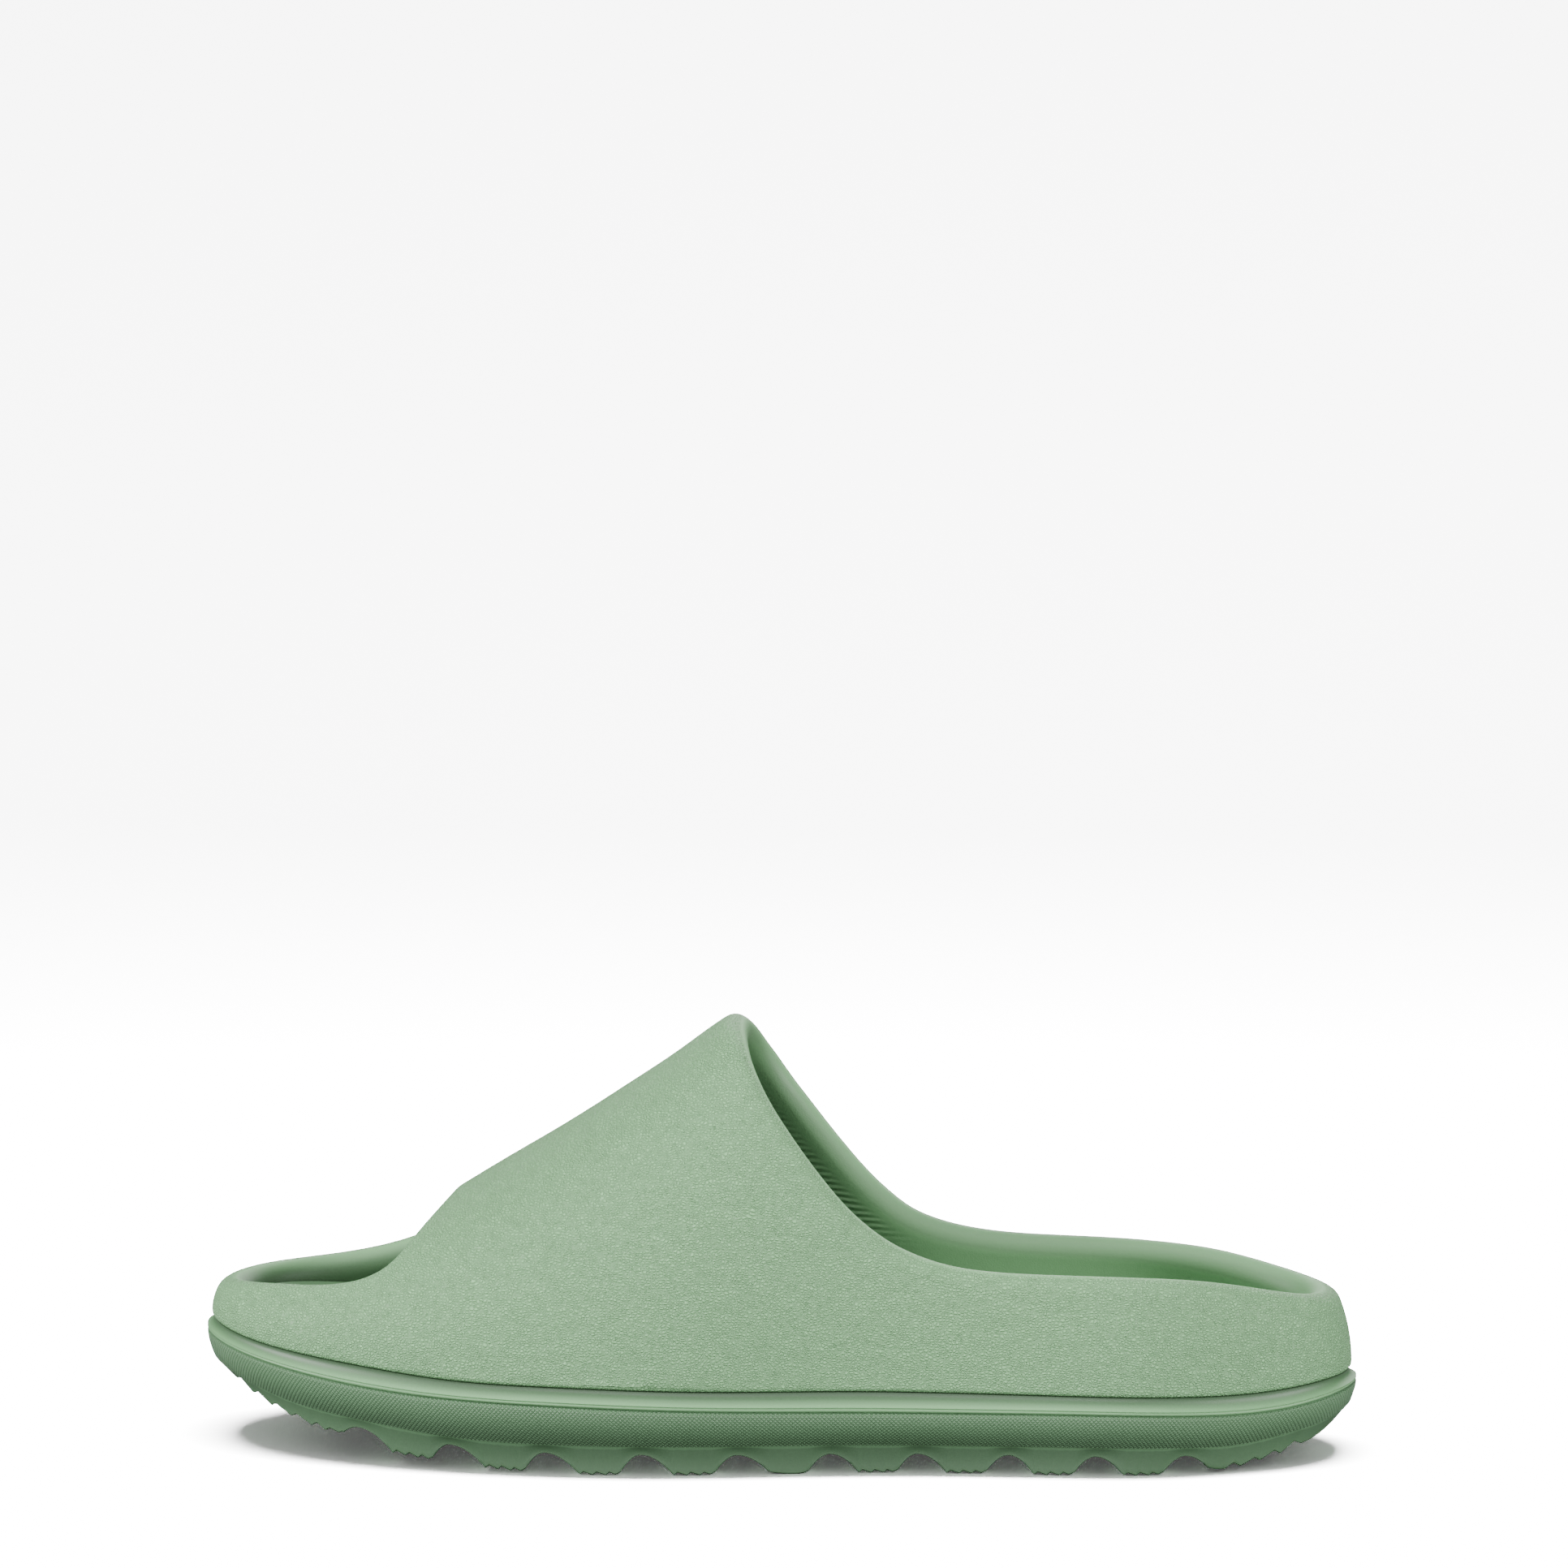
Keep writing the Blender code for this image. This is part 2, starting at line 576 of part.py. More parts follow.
def insole_solid():
    """Footbed with an even thickness and a rim that cups up against the walls."""
    floor = lambda x: footbed(x) - INSOLE_THICK
    top = lambda x: footbed(x) + CUP_RISE
    part_way = lambda x: footbed(x) + 0.32 * CUP_RISE
    flat = lambda x: footbed(x)
    shifts = (WALL_CLEARANCE, WALL_CLEARANCE, WALL_CLEARANCE + 0.34 * CUP_WIDTH, CUP_WIDTH)
    turn, rings = inside_rings((floor, top, part_way, flat), shifts)
    quads = []
    for side in (-1, 1):
        strip(quads, list(rings[side]), range(len(turn) - 1))
    lid(quads, rings[-1][0], rings[1][0])
    lid(quads, rings[-1][-1], rings[1][-1])
    return quads


# Blender objects
import bmesh
import bpy

COLOURS = {
    "outsole": (0.210, 0.360, 0.220, 1.0),
    "midsole": (0.260, 0.420, 0.270, 1.0),
    "upper": (0.290, 0.450, 0.300, 1.0),
    "insole": (0.230, 0.380, 0.240, 1.0),
}


def build_object(name, quads):
    """Weld the quads into one closed mesh, face it outwards and give it its own material."""
    mesh = bpy.data.meshes.new(name)
    work = bmesh.new()
    for quad in quads:
        points = []
        for point in quad:
            if all((np.array(point) - np.array(other)).dot(np.array(point) - np.array(other)) > 1e-13
                   for other in points):
                points.append(point)
        if len(points) > 2:
            work.faces.new([work.verts.new(point) for point in points])
    bmesh.ops.remove_doubles(work, verts=work.verts, dist=2e-6)
    bmesh.ops.triangulate(work, faces=work.faces, quad_method="SHORT_EDGE")
    bmesh.ops.recalc_face_normals(work, faces=work.faces)
    if work.calc_volume(signed=True) < 0:
        bmesh.ops.reverse_faces(work, faces=work.faces)
    work.to_mesh(mesh)
    work.free()
    thing = bpy.data.objects.new(name, mesh)
    bpy.context.scene.collection.objects.link(thing)
    material = bpy.data.materials.new(name + "_foam")
    material.use_nodes = True
    shader = material.node_tree.nodes["Principled BSDF"]
    shader.inputs["Base Color"].default_value = COLOURS[name]
    shader.inputs["Roughness"].default_value = 0.55
    mesh.materials.append(material)
    bpy.ops.object.select_all(action="DESELECT")
    thing.select_set(True)
    bpy.context.view_layer.objects.active = thing
    bpy.ops.object.shade_smooth()
    mesh.set_sharp_from_angle(angle=math.radians(40.0))
    return thing


def main():
    """Clear the scene and build the four solids."""
    for thing in list(bpy.data.objects):
        bpy.data.objects.remove(thing, do_unlink=True)
    build_object("outsole", outsole_solid())
    build_object("midsole", midsole_solid())
    build_object("upper", upper_solid())
    build_object("insole", insole_solid())


main()
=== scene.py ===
"""Looks of the moulded foam slide sandal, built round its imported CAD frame.

Frame: +X runs toe to heel, -Y is the lateral side, +Z is up, metres.
"""
import json
from math import asin, atan, cos, pi, radians, sin, sqrt

import bmesh
import bpy
import numpy as np
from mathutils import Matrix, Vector

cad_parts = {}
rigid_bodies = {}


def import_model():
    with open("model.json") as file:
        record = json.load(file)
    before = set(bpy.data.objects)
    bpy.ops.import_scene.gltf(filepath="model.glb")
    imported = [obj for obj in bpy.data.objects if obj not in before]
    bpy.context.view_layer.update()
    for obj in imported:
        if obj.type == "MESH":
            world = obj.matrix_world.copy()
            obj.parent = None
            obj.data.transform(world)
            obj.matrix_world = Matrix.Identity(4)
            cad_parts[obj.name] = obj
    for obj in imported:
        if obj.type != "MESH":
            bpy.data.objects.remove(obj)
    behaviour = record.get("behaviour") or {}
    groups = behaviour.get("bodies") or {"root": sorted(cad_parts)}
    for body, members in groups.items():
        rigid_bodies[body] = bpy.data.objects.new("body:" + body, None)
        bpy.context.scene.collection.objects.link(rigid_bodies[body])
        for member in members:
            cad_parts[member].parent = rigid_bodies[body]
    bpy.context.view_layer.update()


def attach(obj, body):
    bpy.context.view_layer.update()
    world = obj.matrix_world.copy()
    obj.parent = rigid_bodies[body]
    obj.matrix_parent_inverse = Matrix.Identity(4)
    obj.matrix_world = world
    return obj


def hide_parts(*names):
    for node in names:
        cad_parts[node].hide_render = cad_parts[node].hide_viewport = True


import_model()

bl_info = {
    "name": "Slide Sandal",
    "version": (1, 0, 0),
    "blender": (4, 5, 0),
    "location": "View3D > Sidebar > Slide",
    "description": "Builds the dressed pieces of a moulded foam slide sandal",
    "category": "Object",
}

MM = 0.001
LENGTH = 0.290
TOE_CAP_RADIUS = 46.0 * MM
HEEL_CAP_RADIUS = 39.0 * MM
TOE_TIP_OFFSET = 6.7 * MM
HEEL_TIP_OFFSET = 0.2 * MM
UPPER_INSET = 1.2 * MM
BASE_ROUND = 1.0 * MM
CLEARANCE = 0.3 * MM
COVE_DEPTH = 1.6 * MM
INSOLE_THICK = 4.0 * MM
CUP_RISE = 3.0 * MM
CUP_WIDTH = 9.0 * MM

# Slots at the groove and the parting line: depth, and how far the lower piece's lid rises in them
SLOT_DEPTH = 0.5 * MM
SLOT_FILL = 0.27 * MM

# Painted shade as a factor on the colour, 1 is none: band by share of its height, skirt top to foot, inner
# skin toe to heel, inner rim
BAND_PAINTED_SHADE = ((0, 0.72), (0.22, 0.74), (0.34, 0.78), (0.48, 0.56), (0.66, 0.36), (1, 0.18))
SKIRT_PAINTED_SHADE = (0.28, 0.36)
INNER_PAINTED_SHADE = (0.44, 0.84)
INNER_PAINTED_SHADE_X = (-60.0 * MM, 60.0 * MM)
RIM_PAINTED_SHADE = 0.78

# Band by share of its height: round of the foot, lip, and cove up to the groove
BAND_SHARES = np.concatenate([[0.0], np.linspace(0.02, 0.16, 7), np.linspace(0.2, 1.0, 26)])
BAND_FOOT, BAND_FOOT_SHARE = 0.55 * MM, 0.11
LIP, LIP_SHARE, LIP_SPREAD = 0.20 * MM, 0.20, 0.03
COVE_START, COVE_RUN, COVE_PULL = 0.27, 0.66, 1.25

# Outsole wall by share of its height: rows, curl to the crease, round of the top edge; its columns'
# end and least distance along x, and least angle from a tip; then the skirt
WALL_SHARES = np.concatenate([[0.0], np.linspace(0.02, 0.12, 5), np.linspace(0.17, 1.0, 18)])
WALL_CURL = radians(75.0)
WALL_EDGE, WALL_EDGE_SHARE = 0.5 * MM, 0.07
WALL_END, WALL_SPACE, TIP_TURN = 144.9 * MM, 0.12 * MM, 0.02
SKIRT_SHARES = (0.12, 0.35, 0.6, 0.8, 0.93)
SKIRT_PULL = 0.35 * MM
SKIRT_ROUND = (0.45 * MM, 0.35 * MM)

# Gaps to the inner wall of the upper: core and underside of the insole, rim of the footbed
CORE_GAP = 0.45 * MM
BED_GAP = 0.10 * MM
CUP_REACH = 1.5
INNER_LIFTS = np.linspace(0.0, 0.9, 41)

# Upper: x where the wall thins to the strap and back, rate of thinning up the wall
THIN_X = (-118.0 * MM, -92.0 * MM, 0.0, 34.0 * MM)
THIN_RATE = 1.5
# Rim by share of its bend: end and fade of the grain, rate and delay of the painted shade
RIM_GRAIN, RIM_GRAIN_FADE = 0.42, 0.16
RIM_DARK_RATE, RIM_DARK_DELAY = 3.2, 1.2
# Columns of the upper at the foot: lean before and behind the strap (radians), power of its growth
TOE_LEAN, TOE_LEAN_POWER = 0.13, 4
COLLAR_LEAN, COLLAR_LEAN_POWER = 0.16, 6

# Closed form of the upper: rate at which the pull along x grows, steps of the search for its points
PULL_RATE = 2.7
SCAN = 2000

# Plan outline: x, centre line, half width (mm)
OUTLINE = (
    (-115, 4.2, 41), (-85, 1.7, 50), (-58, 0.2, 53.6), (-30, -0.3, 54), (-3, -2.8, 48),
    (23, -5.8, 40.5), (50, -5.4, 39), (75, -3.8, 40.6), (95, -2.4, 40.3), (120, -0.8, 32.5))

# Levels of the side wall: x, groove, parting line, crease, crease inset, foot inset (mm)
LEVELS = (
    (-145, 31, 27.6, 21.8, 1.4, 3), (-133, 28.8, 25, 18, 3.4, 4.6),
    (-118, 26.8, 22.4, 13.9, 4.4, 5.4), (-100, 25, 20.1, 11.2, 4.8, 5.9),
    (-77, 22.9, 18.4, 8.5, 4.8, 6.2), (-50, 22.1, 17.6, 7.6, 4.8, 6.2),
    (-13, 21.2, 16.5, 7.4, 4.8, 6.2), (20, 20.9, 15.9, 7.3, 4.8, 6.2),
    (50, 20.5, 15.7, 7.2, 4.8, 6.2), (85, 20, 15.6, 7.2, 4.8, 6.2),
    (103, 19.6, 15.1, 6.8, 4.8, 6), (117, 19.5, 14.8, 7, 4.6, 5.6),
    (130, 20.2, 15.6, 9.2, 3.8, 4.8), (139, 21.1, 17.1, 11.4, 2.6, 3.8),
    (145, 21.6, 18.4, 14, 1.3, 2.8))

GROOVE, PARTING, CREASE, CREASE_INSET, FOOT_INSET = range(1, 6)

# Lugs: front x, back x, z at front, z at back, x and z of the gap behind (mm), number of fine teeth
LUGS = (
    (-109.5, -105, 7.4, 7, -101.1, 9, 1), (-91.7, -81.8, 3.2, 2.1, -77.2, 6.3, 3),
    (-68, -58.4, 0.9, 0.3, -53.2, 5.3, 3), (-44.4, -34.8, 0, 0, -29.4, 5.2, 3),
    (-21.3, -11.7, 0, 0, -6, 4.9, 3), (2.3, 10.9, 0, 0, 16.6, 4.8, 0),
    (23.6, 32.7, 0, 0, 37.9, 4.8, 3), (45.2, 54.4, 0, 0, 60.3, 4.8, 3),
    (66.6, 76, 0, 0, 81.6, 4.8, 3), (88.6, 97.7, 0, 0, 103.5, 4.6, 3),
    (109.4, 113.8, 0.8, 0.8, 115.2, 2.2, 0))

# Bottom of a lug without teeth: share of its run, rise (mm)
PLAIN_LUG = ((0, 0.45), (0.15, 0.27), (0.35, 0.1), (0.6, 0), (0.8, 0.03), (0.92, 0.2), (1, 0.5))
# End of the last tooth: x past the back of the lug (mm), share of the tooth depth
LAST_TOOTH = ((-0.9, 0.3), (-0.3, 0.5), (0.1, 0.9))
# Share of a tooth's pitch over which it rises; rounded gap by share of its half width, and its power
TOOTH_RISE = 0.28
GAP_SHARES = np.linspace(0.08, 0.92, 8)
GAP_POWER = 0.9

# Tread ahead of the first lug and behind the last one, with small teeth: x, z (mm)
TOE_TREAD = (
    (-145, 22.4), (-142, 20.3), (-140, 19.2), (-137.4, 18), (-134.6, 16.8), (-133.4, 17.2),
    (-129.6, 14.1), (-128.3, 14.7), (-124.3, 11.8), (-123.3, 12.6), (-118.7, 10), (-117.4, 10.7),
    (-113.1, 8.3), (-111.7, 9.2))
HEEL_TREAD = (
    (115.2, 2.2), (116.9, 1.2), (120.3, 3.1), (121.6, 2.3), (125.1, 4.5), (126.5, 3.6), (130, 6.3),
    (131.6, 5.5), (134, 6.3), (136.6, 7.6), (139, 9.3), (141.2, 11.1), (142.6, 12.3), (145, 14.6))

# Spine that the closed form of the upper is drawn in to: base x, spine x, y, z, fullness (mm)
SPINE = (
    (-143.8, -104, 7.2, 52.6, 0), (-130, -101, 6.8, 53.6, 0),
    (-115, -95.6, 6.4, 55.4, 0.02), (-101, -88.8, 6.2, 58.4, 0.04),
    (-90.5, -81.8, 6.2, 62.6, 0.06), (-74, -68.2, 6.2, 71, 0.09),
    (-57, -52.4, 6.2, 80.5, 0.10), (-40.5, -37, 6.4, 90.5, 0.10),
    (-26.5, -24.2, 6.8, 99.2, 0.10), (-15, -13.6, 7.2, 106.8, 0.10),
    (5, 4, 5.2, 113, 0.06), (30, 26, 0.2, 110, 0.02),
    (60, 52, -2.8, 98, 0), (95, 80, -1.8, 84, 0),
    (125, 97, -0.3, 71, 0), (143.8, 100, 0.2, 66, 0))
# Shoulder of each opening in side view, from its tip to the ridge: x, z (mm).  The keys are the
# opening, 0 toe or 1 collar, and the side, -1 lateral or 1 medial.
EDGES = {}
EDGES[0, -1] = (
    (-143.5, 37.3), (-135.1, 39.2), (-124.5, 40.5), (-113.4, 41.4), (-105.2, 42.8), (-98.4, 45.1),
    (-93.1, 48.5), (-89.4, 52.5), (-86.8, 56.1))
EDGES[0, 1] = (
    (-143.5, 37.3), (-135, 38.1), (-124, 38.8), (-112.6, 40), (-104.5, 41.7), (-98, 43.7),
    (-92, 46.6), (-88.2, 50.7), (-85.8, 55))
EDGES[1, -1] = (
    (143, 38.2), (135.1, 39), (123.5, 41.4), (112.2, 43.6), (98.9, 45), (85.1, 45.5),
    (69.3, 45.7), (55.7, 46.2), (45.8, 47.5), (37.6, 49.9), (30.1, 53.5), (23.6, 58.2),
    (17.7, 63.8), (12.1, 70.4), (7, 77), (2, 83.8), (-2.4, 89.9), (-6.3, 95.6),
    (-9.4, 100.2), (-11.6, 103.6), (-13, 105.7))
EDGES[1, 1] = (
    (143, 38.2), (135, 39), (123.1, 41.2), (111.6, 43.3), (98.1, 44.4), (84.2, 45),
    (68.5, 45.6), (55, 46.4), (45.2, 47.8), (37.3, 49.9), (30.4, 53.1), (24.6, 57.7),
    (19.6, 62.7), (14.3, 68.9), (9.4, 75), (4.2, 81.8), (-0.3, 87.8), (-4.7, 94.2),
    (-8.4, 99.4), (-11.2, 103.4), (-13, 105.7))
RIDGE_X = (-81.1 * MM, -13.6 * MM)

# Footbed: x, height of the insole surface at the centre (mm)
FOOTBED = (
    (-134, 33.6), (-115, 31.2), (-90, 29.3), (-60, 28.9), (-30, 29.9), (0, 31.6),
    (30, 32.8), (70, 32.8), (105, 32.6), (134, 33.4))

HALF = LENGTH / 2.0


def column(table, index):
    """One column of a table as an array."""
    return np.array([row[index] for row in table], float)


def spline(xs, ys, query):
    """Natural cubic spline through (xs, ys), read at query."""
    xs, ys, query = (np.asarray(v, float) for v in (xs, ys, query))
    count = len(xs)
    step = np.diff(xs)
    slope = np.diff(ys) / step
    inner = np.arange(1, count - 1)
    matrix = np.zeros((count, count))
    right = np.zeros(count)
    matrix[0, 0] = matrix[-1, -1] = 1.0
    matrix[inner, inner - 1] = step[:-1]
    matrix[inner, inner] = 2.0 * (step[:-1] + step[1:])
    matrix[inner, inner + 1] = step[1:]
    right[inner] = 6.0 * np.diff(slope)
    bend = np.linalg.solve(matrix, right)
    i = np.clip(np.searchsorted(xs, query) - 1, 0, count - 2)
    t = query - xs[i]
    h = step[i]
    return (ys[i] + t * (slope[i] - h * (2.0 * bend[i] + bend[i + 1]) / 6.0)
            + t * t * bend[i] / 2.0 + t ** 3 * (bend[i + 1] - bend[i]) / (6.0 * h))


def unit(vectors):
    """Vectors scaled to length one."""
    return vectors / np.maximum(np.linalg.norm(vectors, axis=-1, keepdims=True), 1e-12)


def run_length(points):
    """Length along a run of points, from the first to each."""
    return np.concatenate([[0.0], np.cumsum(np.linalg.norm(np.diff(points, axis=0), axis=1))])


def turn_of(x, inset=0.0):
    """Angle round the plan, 0 at the toe tip and pi at the heel tip, of a column at x."""
    return np.arccos(np.clip(-np.asarray(x, float) / (HALF - inset), -1.0, 1.0))


OUTLINE_TURN = turn_of(column(OUTLINE, 0) * MM)
TURNS = np.concatenate([[0.0], OUTLINE_TURN, [pi]])
FULLNESS = np.concatenate([
    [sqrt(TOE_CAP_RADIUS * HALF)], column(OUTLINE, 2) * MM / np.sin(OUTLINE_TURN),
    [sqrt(HEEL_CAP_RADIUS * HALF)]])
CENTRES = np.concatenate([[TOE_TIP_OFFSET], column(OUTLINE, 1) * MM, [HEEL_TIP_OFFSET]])


def plan(turn, inset, side):
    """Plan point at an angle: x = -(half length - inset) cos, y = centre +- (fullness - inset) sin."""
    wide = spline(TURNS, FULLNESS, turn) - inset
    x = -(HALF - inset) * np.cos(turn)
    y = spline(TURNS, CENTRES, turn) + side * wide * np.sin(turn)
    return np.stack([x, y], axis=-1)


def level(x, index):
    """A height or inset of the LEVELS table at x, by its column."""
    return spline(column(LEVELS, 0) * MM, column(LEVELS, index) * MM, x)


def spine(turn):
    """Spine point (x, y, z) and fullness of the closed form at an angle."""
    knots = turn_of(column(SPINE, 0) * MM, UPPER_INSET)
    knots[0] = 0.0
    knots[-1] = pi
    point = [spline(knots, column(SPINE, i) * MM, turn) for i in (1, 2, 3)]
    return np.stack(point, axis=-1), spline(knots, column(SPINE, 4), turn)


def ring(turn, inset, height, side):
    """Points on an inset outline at a height that depends on x."""
    flat = plan(turn, inset, side)
    return np.concatenate([flat, height(flat[..., 0])[..., None]], axis=-1)


def foot_line(turn, side):
    """Outline that the upper starts from, just above the groove."""
    return ring(turn, UPPER_INSET, lambda x: level(x, GROOVE) + CLEARANCE + BASE_ROUND, side)


def lean_power(turn):
    """Power of the pull along x: one at the tips, two along the strap."""
    return 1.0 + np.clip(PULL_RATE * np.sin(turn) ** 4, 0.0, 1.0)


def dome(turn, lift, side):
    """Closed form of the upper, as over a last: a quarter ellipse per angle, from base to spine.

    At lift a the plan point is spine + (base - spine) p, p = cos a (1 + fullness sin^2 a), and the
    height is base + (spine - base) sin a.  Along x the pull is p^lean, so the ridge has no crease.
    """
    base = foot_line(turn, side)
    top, full = spine(turn)
    pull = np.clip(np.cos(lift), 0.0, None) * (1.0 + full * np.sin(lift) ** 2)
    point = top + (base - top) * pull[..., None]
    point[..., 0] = top[..., 0] + (base[..., 0] - top[..., 0]) * pull ** lean_power(turn)
    point[..., 2] = base[..., 2] + (top[..., 2] - base[..., 2]) * np.sin(lift)
    return point


def dome_normal(turn, lift, side):
    """Outward normal of the closed form by small differences."""
    fine = 2e-4
    along = dome(turn + fine, lift, side) - dome(turn - fine, lift, side)
    low = np.clip(lift - fine, None, pi / 2 - fine)
    high = np.clip(lift + fine, None, pi / 2)
    rise = dome(turn, high, side) - dome(turn, low, side)
    normal = unit(np.cross(rise, along)) * side
    level_top = np.stack([-along[..., 2], np.zeros_like(lift), along[..., 0]], axis=-1)
    return np.where((lift > pi / 2 - 1e-7)[..., None], unit(level_top), normal)


def side_solve(x, z, side):
    """Angle and lift of the points of the closed form that lie at x and z in side view."""
    turns = np.linspace(0.0, pi, SCAN + 1)
    base = foot_line(turns, side)
    top, full = spine(turns)
    found = []
    for at_x, at_z in zip(x, z):
        share = np.clip((at_z - base[:, 2]) / (top[:, 2] - base[:, 2]), 0.0, 1.0)
        pull = np.sqrt(1.0 - share ** 2) * (1.0 + full * share ** 2)
        xs = top[:, 0] + (base[:, 0] - top[:, 0]) * pull ** lean_power(turns)
        turn = np.interp(at_x, xs, turns)
        found.append((turn, asin(np.interp(turn, turns, share))))
    return np.array(found)


def edge_knots(end, side):
    """Knots of one side of an opening as angle and lift, from its tip to the ridge."""
    x, z = np.array(EDGES[end, side]).T * MM
    found = side_solve(x, z, side)
    tip = end * pi
    base = foot_line(np.array([tip]), side)[0]
    top = spine(np.array([tip]))[0][0]
    found[0] = (tip, asin((z[0] - base[2]) / (top[2] - base[2])))
    turns = np.linspace(0.0, pi, 2 * SCAN + 1)
    corner = np.interp(RIDGE_X[end], spine(turns)[0][:, 0], turns)
    return np.vstack([found, [corner, pi / 2]])


def edge_curve(end, side, count):
    """Angle and lift along one side of an opening, evenly by length, and the run of the edge.

    The knots of both sides are joined into one closed loop, so the rim has no corner.
    """
    here = edge_knots(end, side)
    there = edge_knots(end, -side)
    tip = end * pi
    before, after = there[1:4][::-1], there[-4:-1][::-1]
    points = np.vstack([dome(*before.T, -side), dome(*here.T, side), dome(*after.T, -side)])
    knots = np.vstack([before * (-1.0, 1.0) + (2.0 * tip, 0.0), here, after * (1.0, -1.0) + (0.0, pi)])
    length = run_length(points)
    where = np.linspace(length[3], length[-4], count + 1)
    turn = spline(length, knots[:, 0], where)
    lift = spline(length, knots[:, 1], where)
    turn[0] = tip
    lift[-1] = pi / 2
    fine = 2e-5
    run = unit(np.stack([spline(length, points[:, i], where + fine)
                         - spline(length, points[:, i], where - fine) for i in range(3)], axis=-1))
    run[0] = (0.0, side, 0.0)
    run[-1] = (0.0, -side, 0.0)
    return turn, lift, run


def upper_half(side, steps, rows):
    """Outer grid of one half, with normals and rim directions.

    Columns end at the edge angles and lean in under the strap at the foot; rows go evenly by lift.
    """
    toe_turn, toe_lift, toe_run = edge_curve(0, side, steps[0])
    back_turn, back_lift, back_run = edge_curve(1, side, steps[2])
    share = np.linspace(0.0, 1.0, steps[1] + 1)[1:-1]
    mid_turn = toe_turn[-1] + share * (back_turn[-1] - toe_turn[-1])
    turn = np.concatenate([toe_turn, mid_turn, back_turn[::-1]])
    lean = np.concatenate([
        TOE_LEAN * np.linspace(0.0, 1.0, steps[0] + 1) ** TOE_LEAN_POWER,
        TOE_LEAN - (TOE_LEAN + COLLAR_LEAN) * share,
        -COLLAR_LEAN * np.linspace(1.0, 0.0, steps[2] + 1) ** COLLAR_LEAN_POWER])
    top = np.concatenate([toe_lift, np.full(len(mid_turn), pi / 2), back_lift[::-1]])
    run = np.concatenate([toe_run, np.zeros((len(mid_turn), 3)), -back_run[::-1]])
    lifts = top[:, None] * np.linspace(0.0, 1.0, rows + 1)[None, :]
    turns = turn[:, None] + lean[:, None] * np.linspace(1.0, 0.0, rows + 1)[None, :]
    grid = dome(turns, lifts, side)
    normal = dome_normal(turns, lifts, side)
    normal[[0, -1], :, 1] = 0.0
    normal[top > pi / 2 - 1e-9, -1, 1] = 0.0
    normal = unit(normal)
    has_rim = run.any(axis=1)
    rim = np.zeros((len(turn), 3))
    rim[has_rim] = unit(np.cross(normal[has_rim, -1], run[has_rim]) * -side)
    return turn, grid, normal, rim


def wall_at(turn, side_wall, strap_wall):
    """Thickness of the upper: thinner in the strap than in the side walls."""
    return np.interp(-HALF * np.cos(turn), THIN_X, (side_wall, strap_wall, strap_wall, side_wall))


def footbed(x):
    """Height of the insole surface at its centre."""
    return spline(*np.array(FOOTBED).T * MM, x)


def outward(turn, side):
    """Outward direction of the base outline in plan."""
    fine = 1e-4
    run = unit(plan(turn + fine, UPPER_INSET, side) - plan(turn - fine, UPPER_INSET, side))
    out = np.stack([run[:, 1], -run[:, 0]], axis=-1) * -side
    out[0] = (-1.0, 0.0)
    out[-1] = (1.0, 0.0)
    return out


def inside_rings(turn, side, wall, heights, shifts):
    """Rings that follow the inner wall of the upper, moved in by shifts, at the given heights."""
    turns, lifts = np.meshgrid(turn, INNER_LIFTS, indexing="ij")
    normal = dome_normal(turns, lifts, side)
    normal[[0, -1], :, 1] = 0.0
    inner = dome(turns, lifts, side) - unit(normal) * wall
    out = outward(turn, side)
    settling_rounds = 4
    rows = []
    for height, shift in zip(heights, shifts):
        spot = inner[:, 0, :2].copy()
        for _ in range(settling_rounds):
            z = height(spot[:, 0])
            step = np.clip((inner[:, :, 2] < z[:, None]).sum(axis=1) - 1, 0, inner.shape[1] - 2)
            pick = np.arange(len(turn))
            low, high = inner[pick, step], inner[pick, step + 1]
            share = np.clip((z - low[:, 2]) / (high[:, 2] - low[:, 2]), 0.0, 1.0)
            spot = low[:, :2] + (high - low)[:, :2] * share[:, None] - out * shift
        rows.append(np.concatenate([spot, height(spot[:, 0])[:, None]], axis=1))
    return rows


def tread_points(tooth_depth):
    """Profile of the tread along x as (x, z) rows: toe teeth, lugs with rounded gaps, heel teeth."""
    deep = tooth_depth / MM
    rows = list(TOE_TREAD)
    for i, (front, back, z_front, z_back, gap_x, gap_z, teeth) in enumerate(LUGS):
        if teeth == 0:
            for share, rise in PLAIN_LUG:
                rows.append((front + share * (back - front), z_front + share * (z_back - z_front) + rise))
        else:
            pitch = (back - front) / teeth
            fall = (z_back - z_front) / teeth
            for k in range(teeth):
                rows.append((front + k * pitch, z_front + k * fall))
                rows.append((front + (k + TOOTH_RISE) * pitch, z_front + k * fall + deep))
            rows += [(back + past, z_back + share * deep) for past, share in LAST_TOOTH]
        if i + 1 == len(LUGS):
            continue
        ahead = LUGS[i + 1]
        for share in GAP_SHARES:
            lift = sin(share * pi / 2) ** GAP_POWER
            rows.append((back + share * (gap_x - back), z_back + lift * (gap_z - z_back)))
        rows.append((gap_x, gap_z))
        for share in GAP_SHARES:
            lift = cos(share * pi / 2) ** GAP_POWER
            rows.append((gap_x + share * (ahead[0] - gap_x), ahead[2] + lift * (gap_z - ahead[2])))
    return np.array(rows + list(HEEL_TREAD)) * MM


def grid_quads(high, wide, first=0):
    """Quads between neighbouring rows of a grid whose points are numbered from first."""
    flat = np.arange(first, first + high * wide).reshape(high, wide)
    return np.stack([flat[:-1, :-1], flat[:-1, 1:], flat[1:, 1:], flat[1:, :-1]], axis=-1).reshape(-1, 4)


def linked(name, data):
    """Object for some data, linked into the scene."""
    thing = bpy.data.objects.new(name, data)
    bpy.context.scene.collection.objects.link(thing)
    return thing


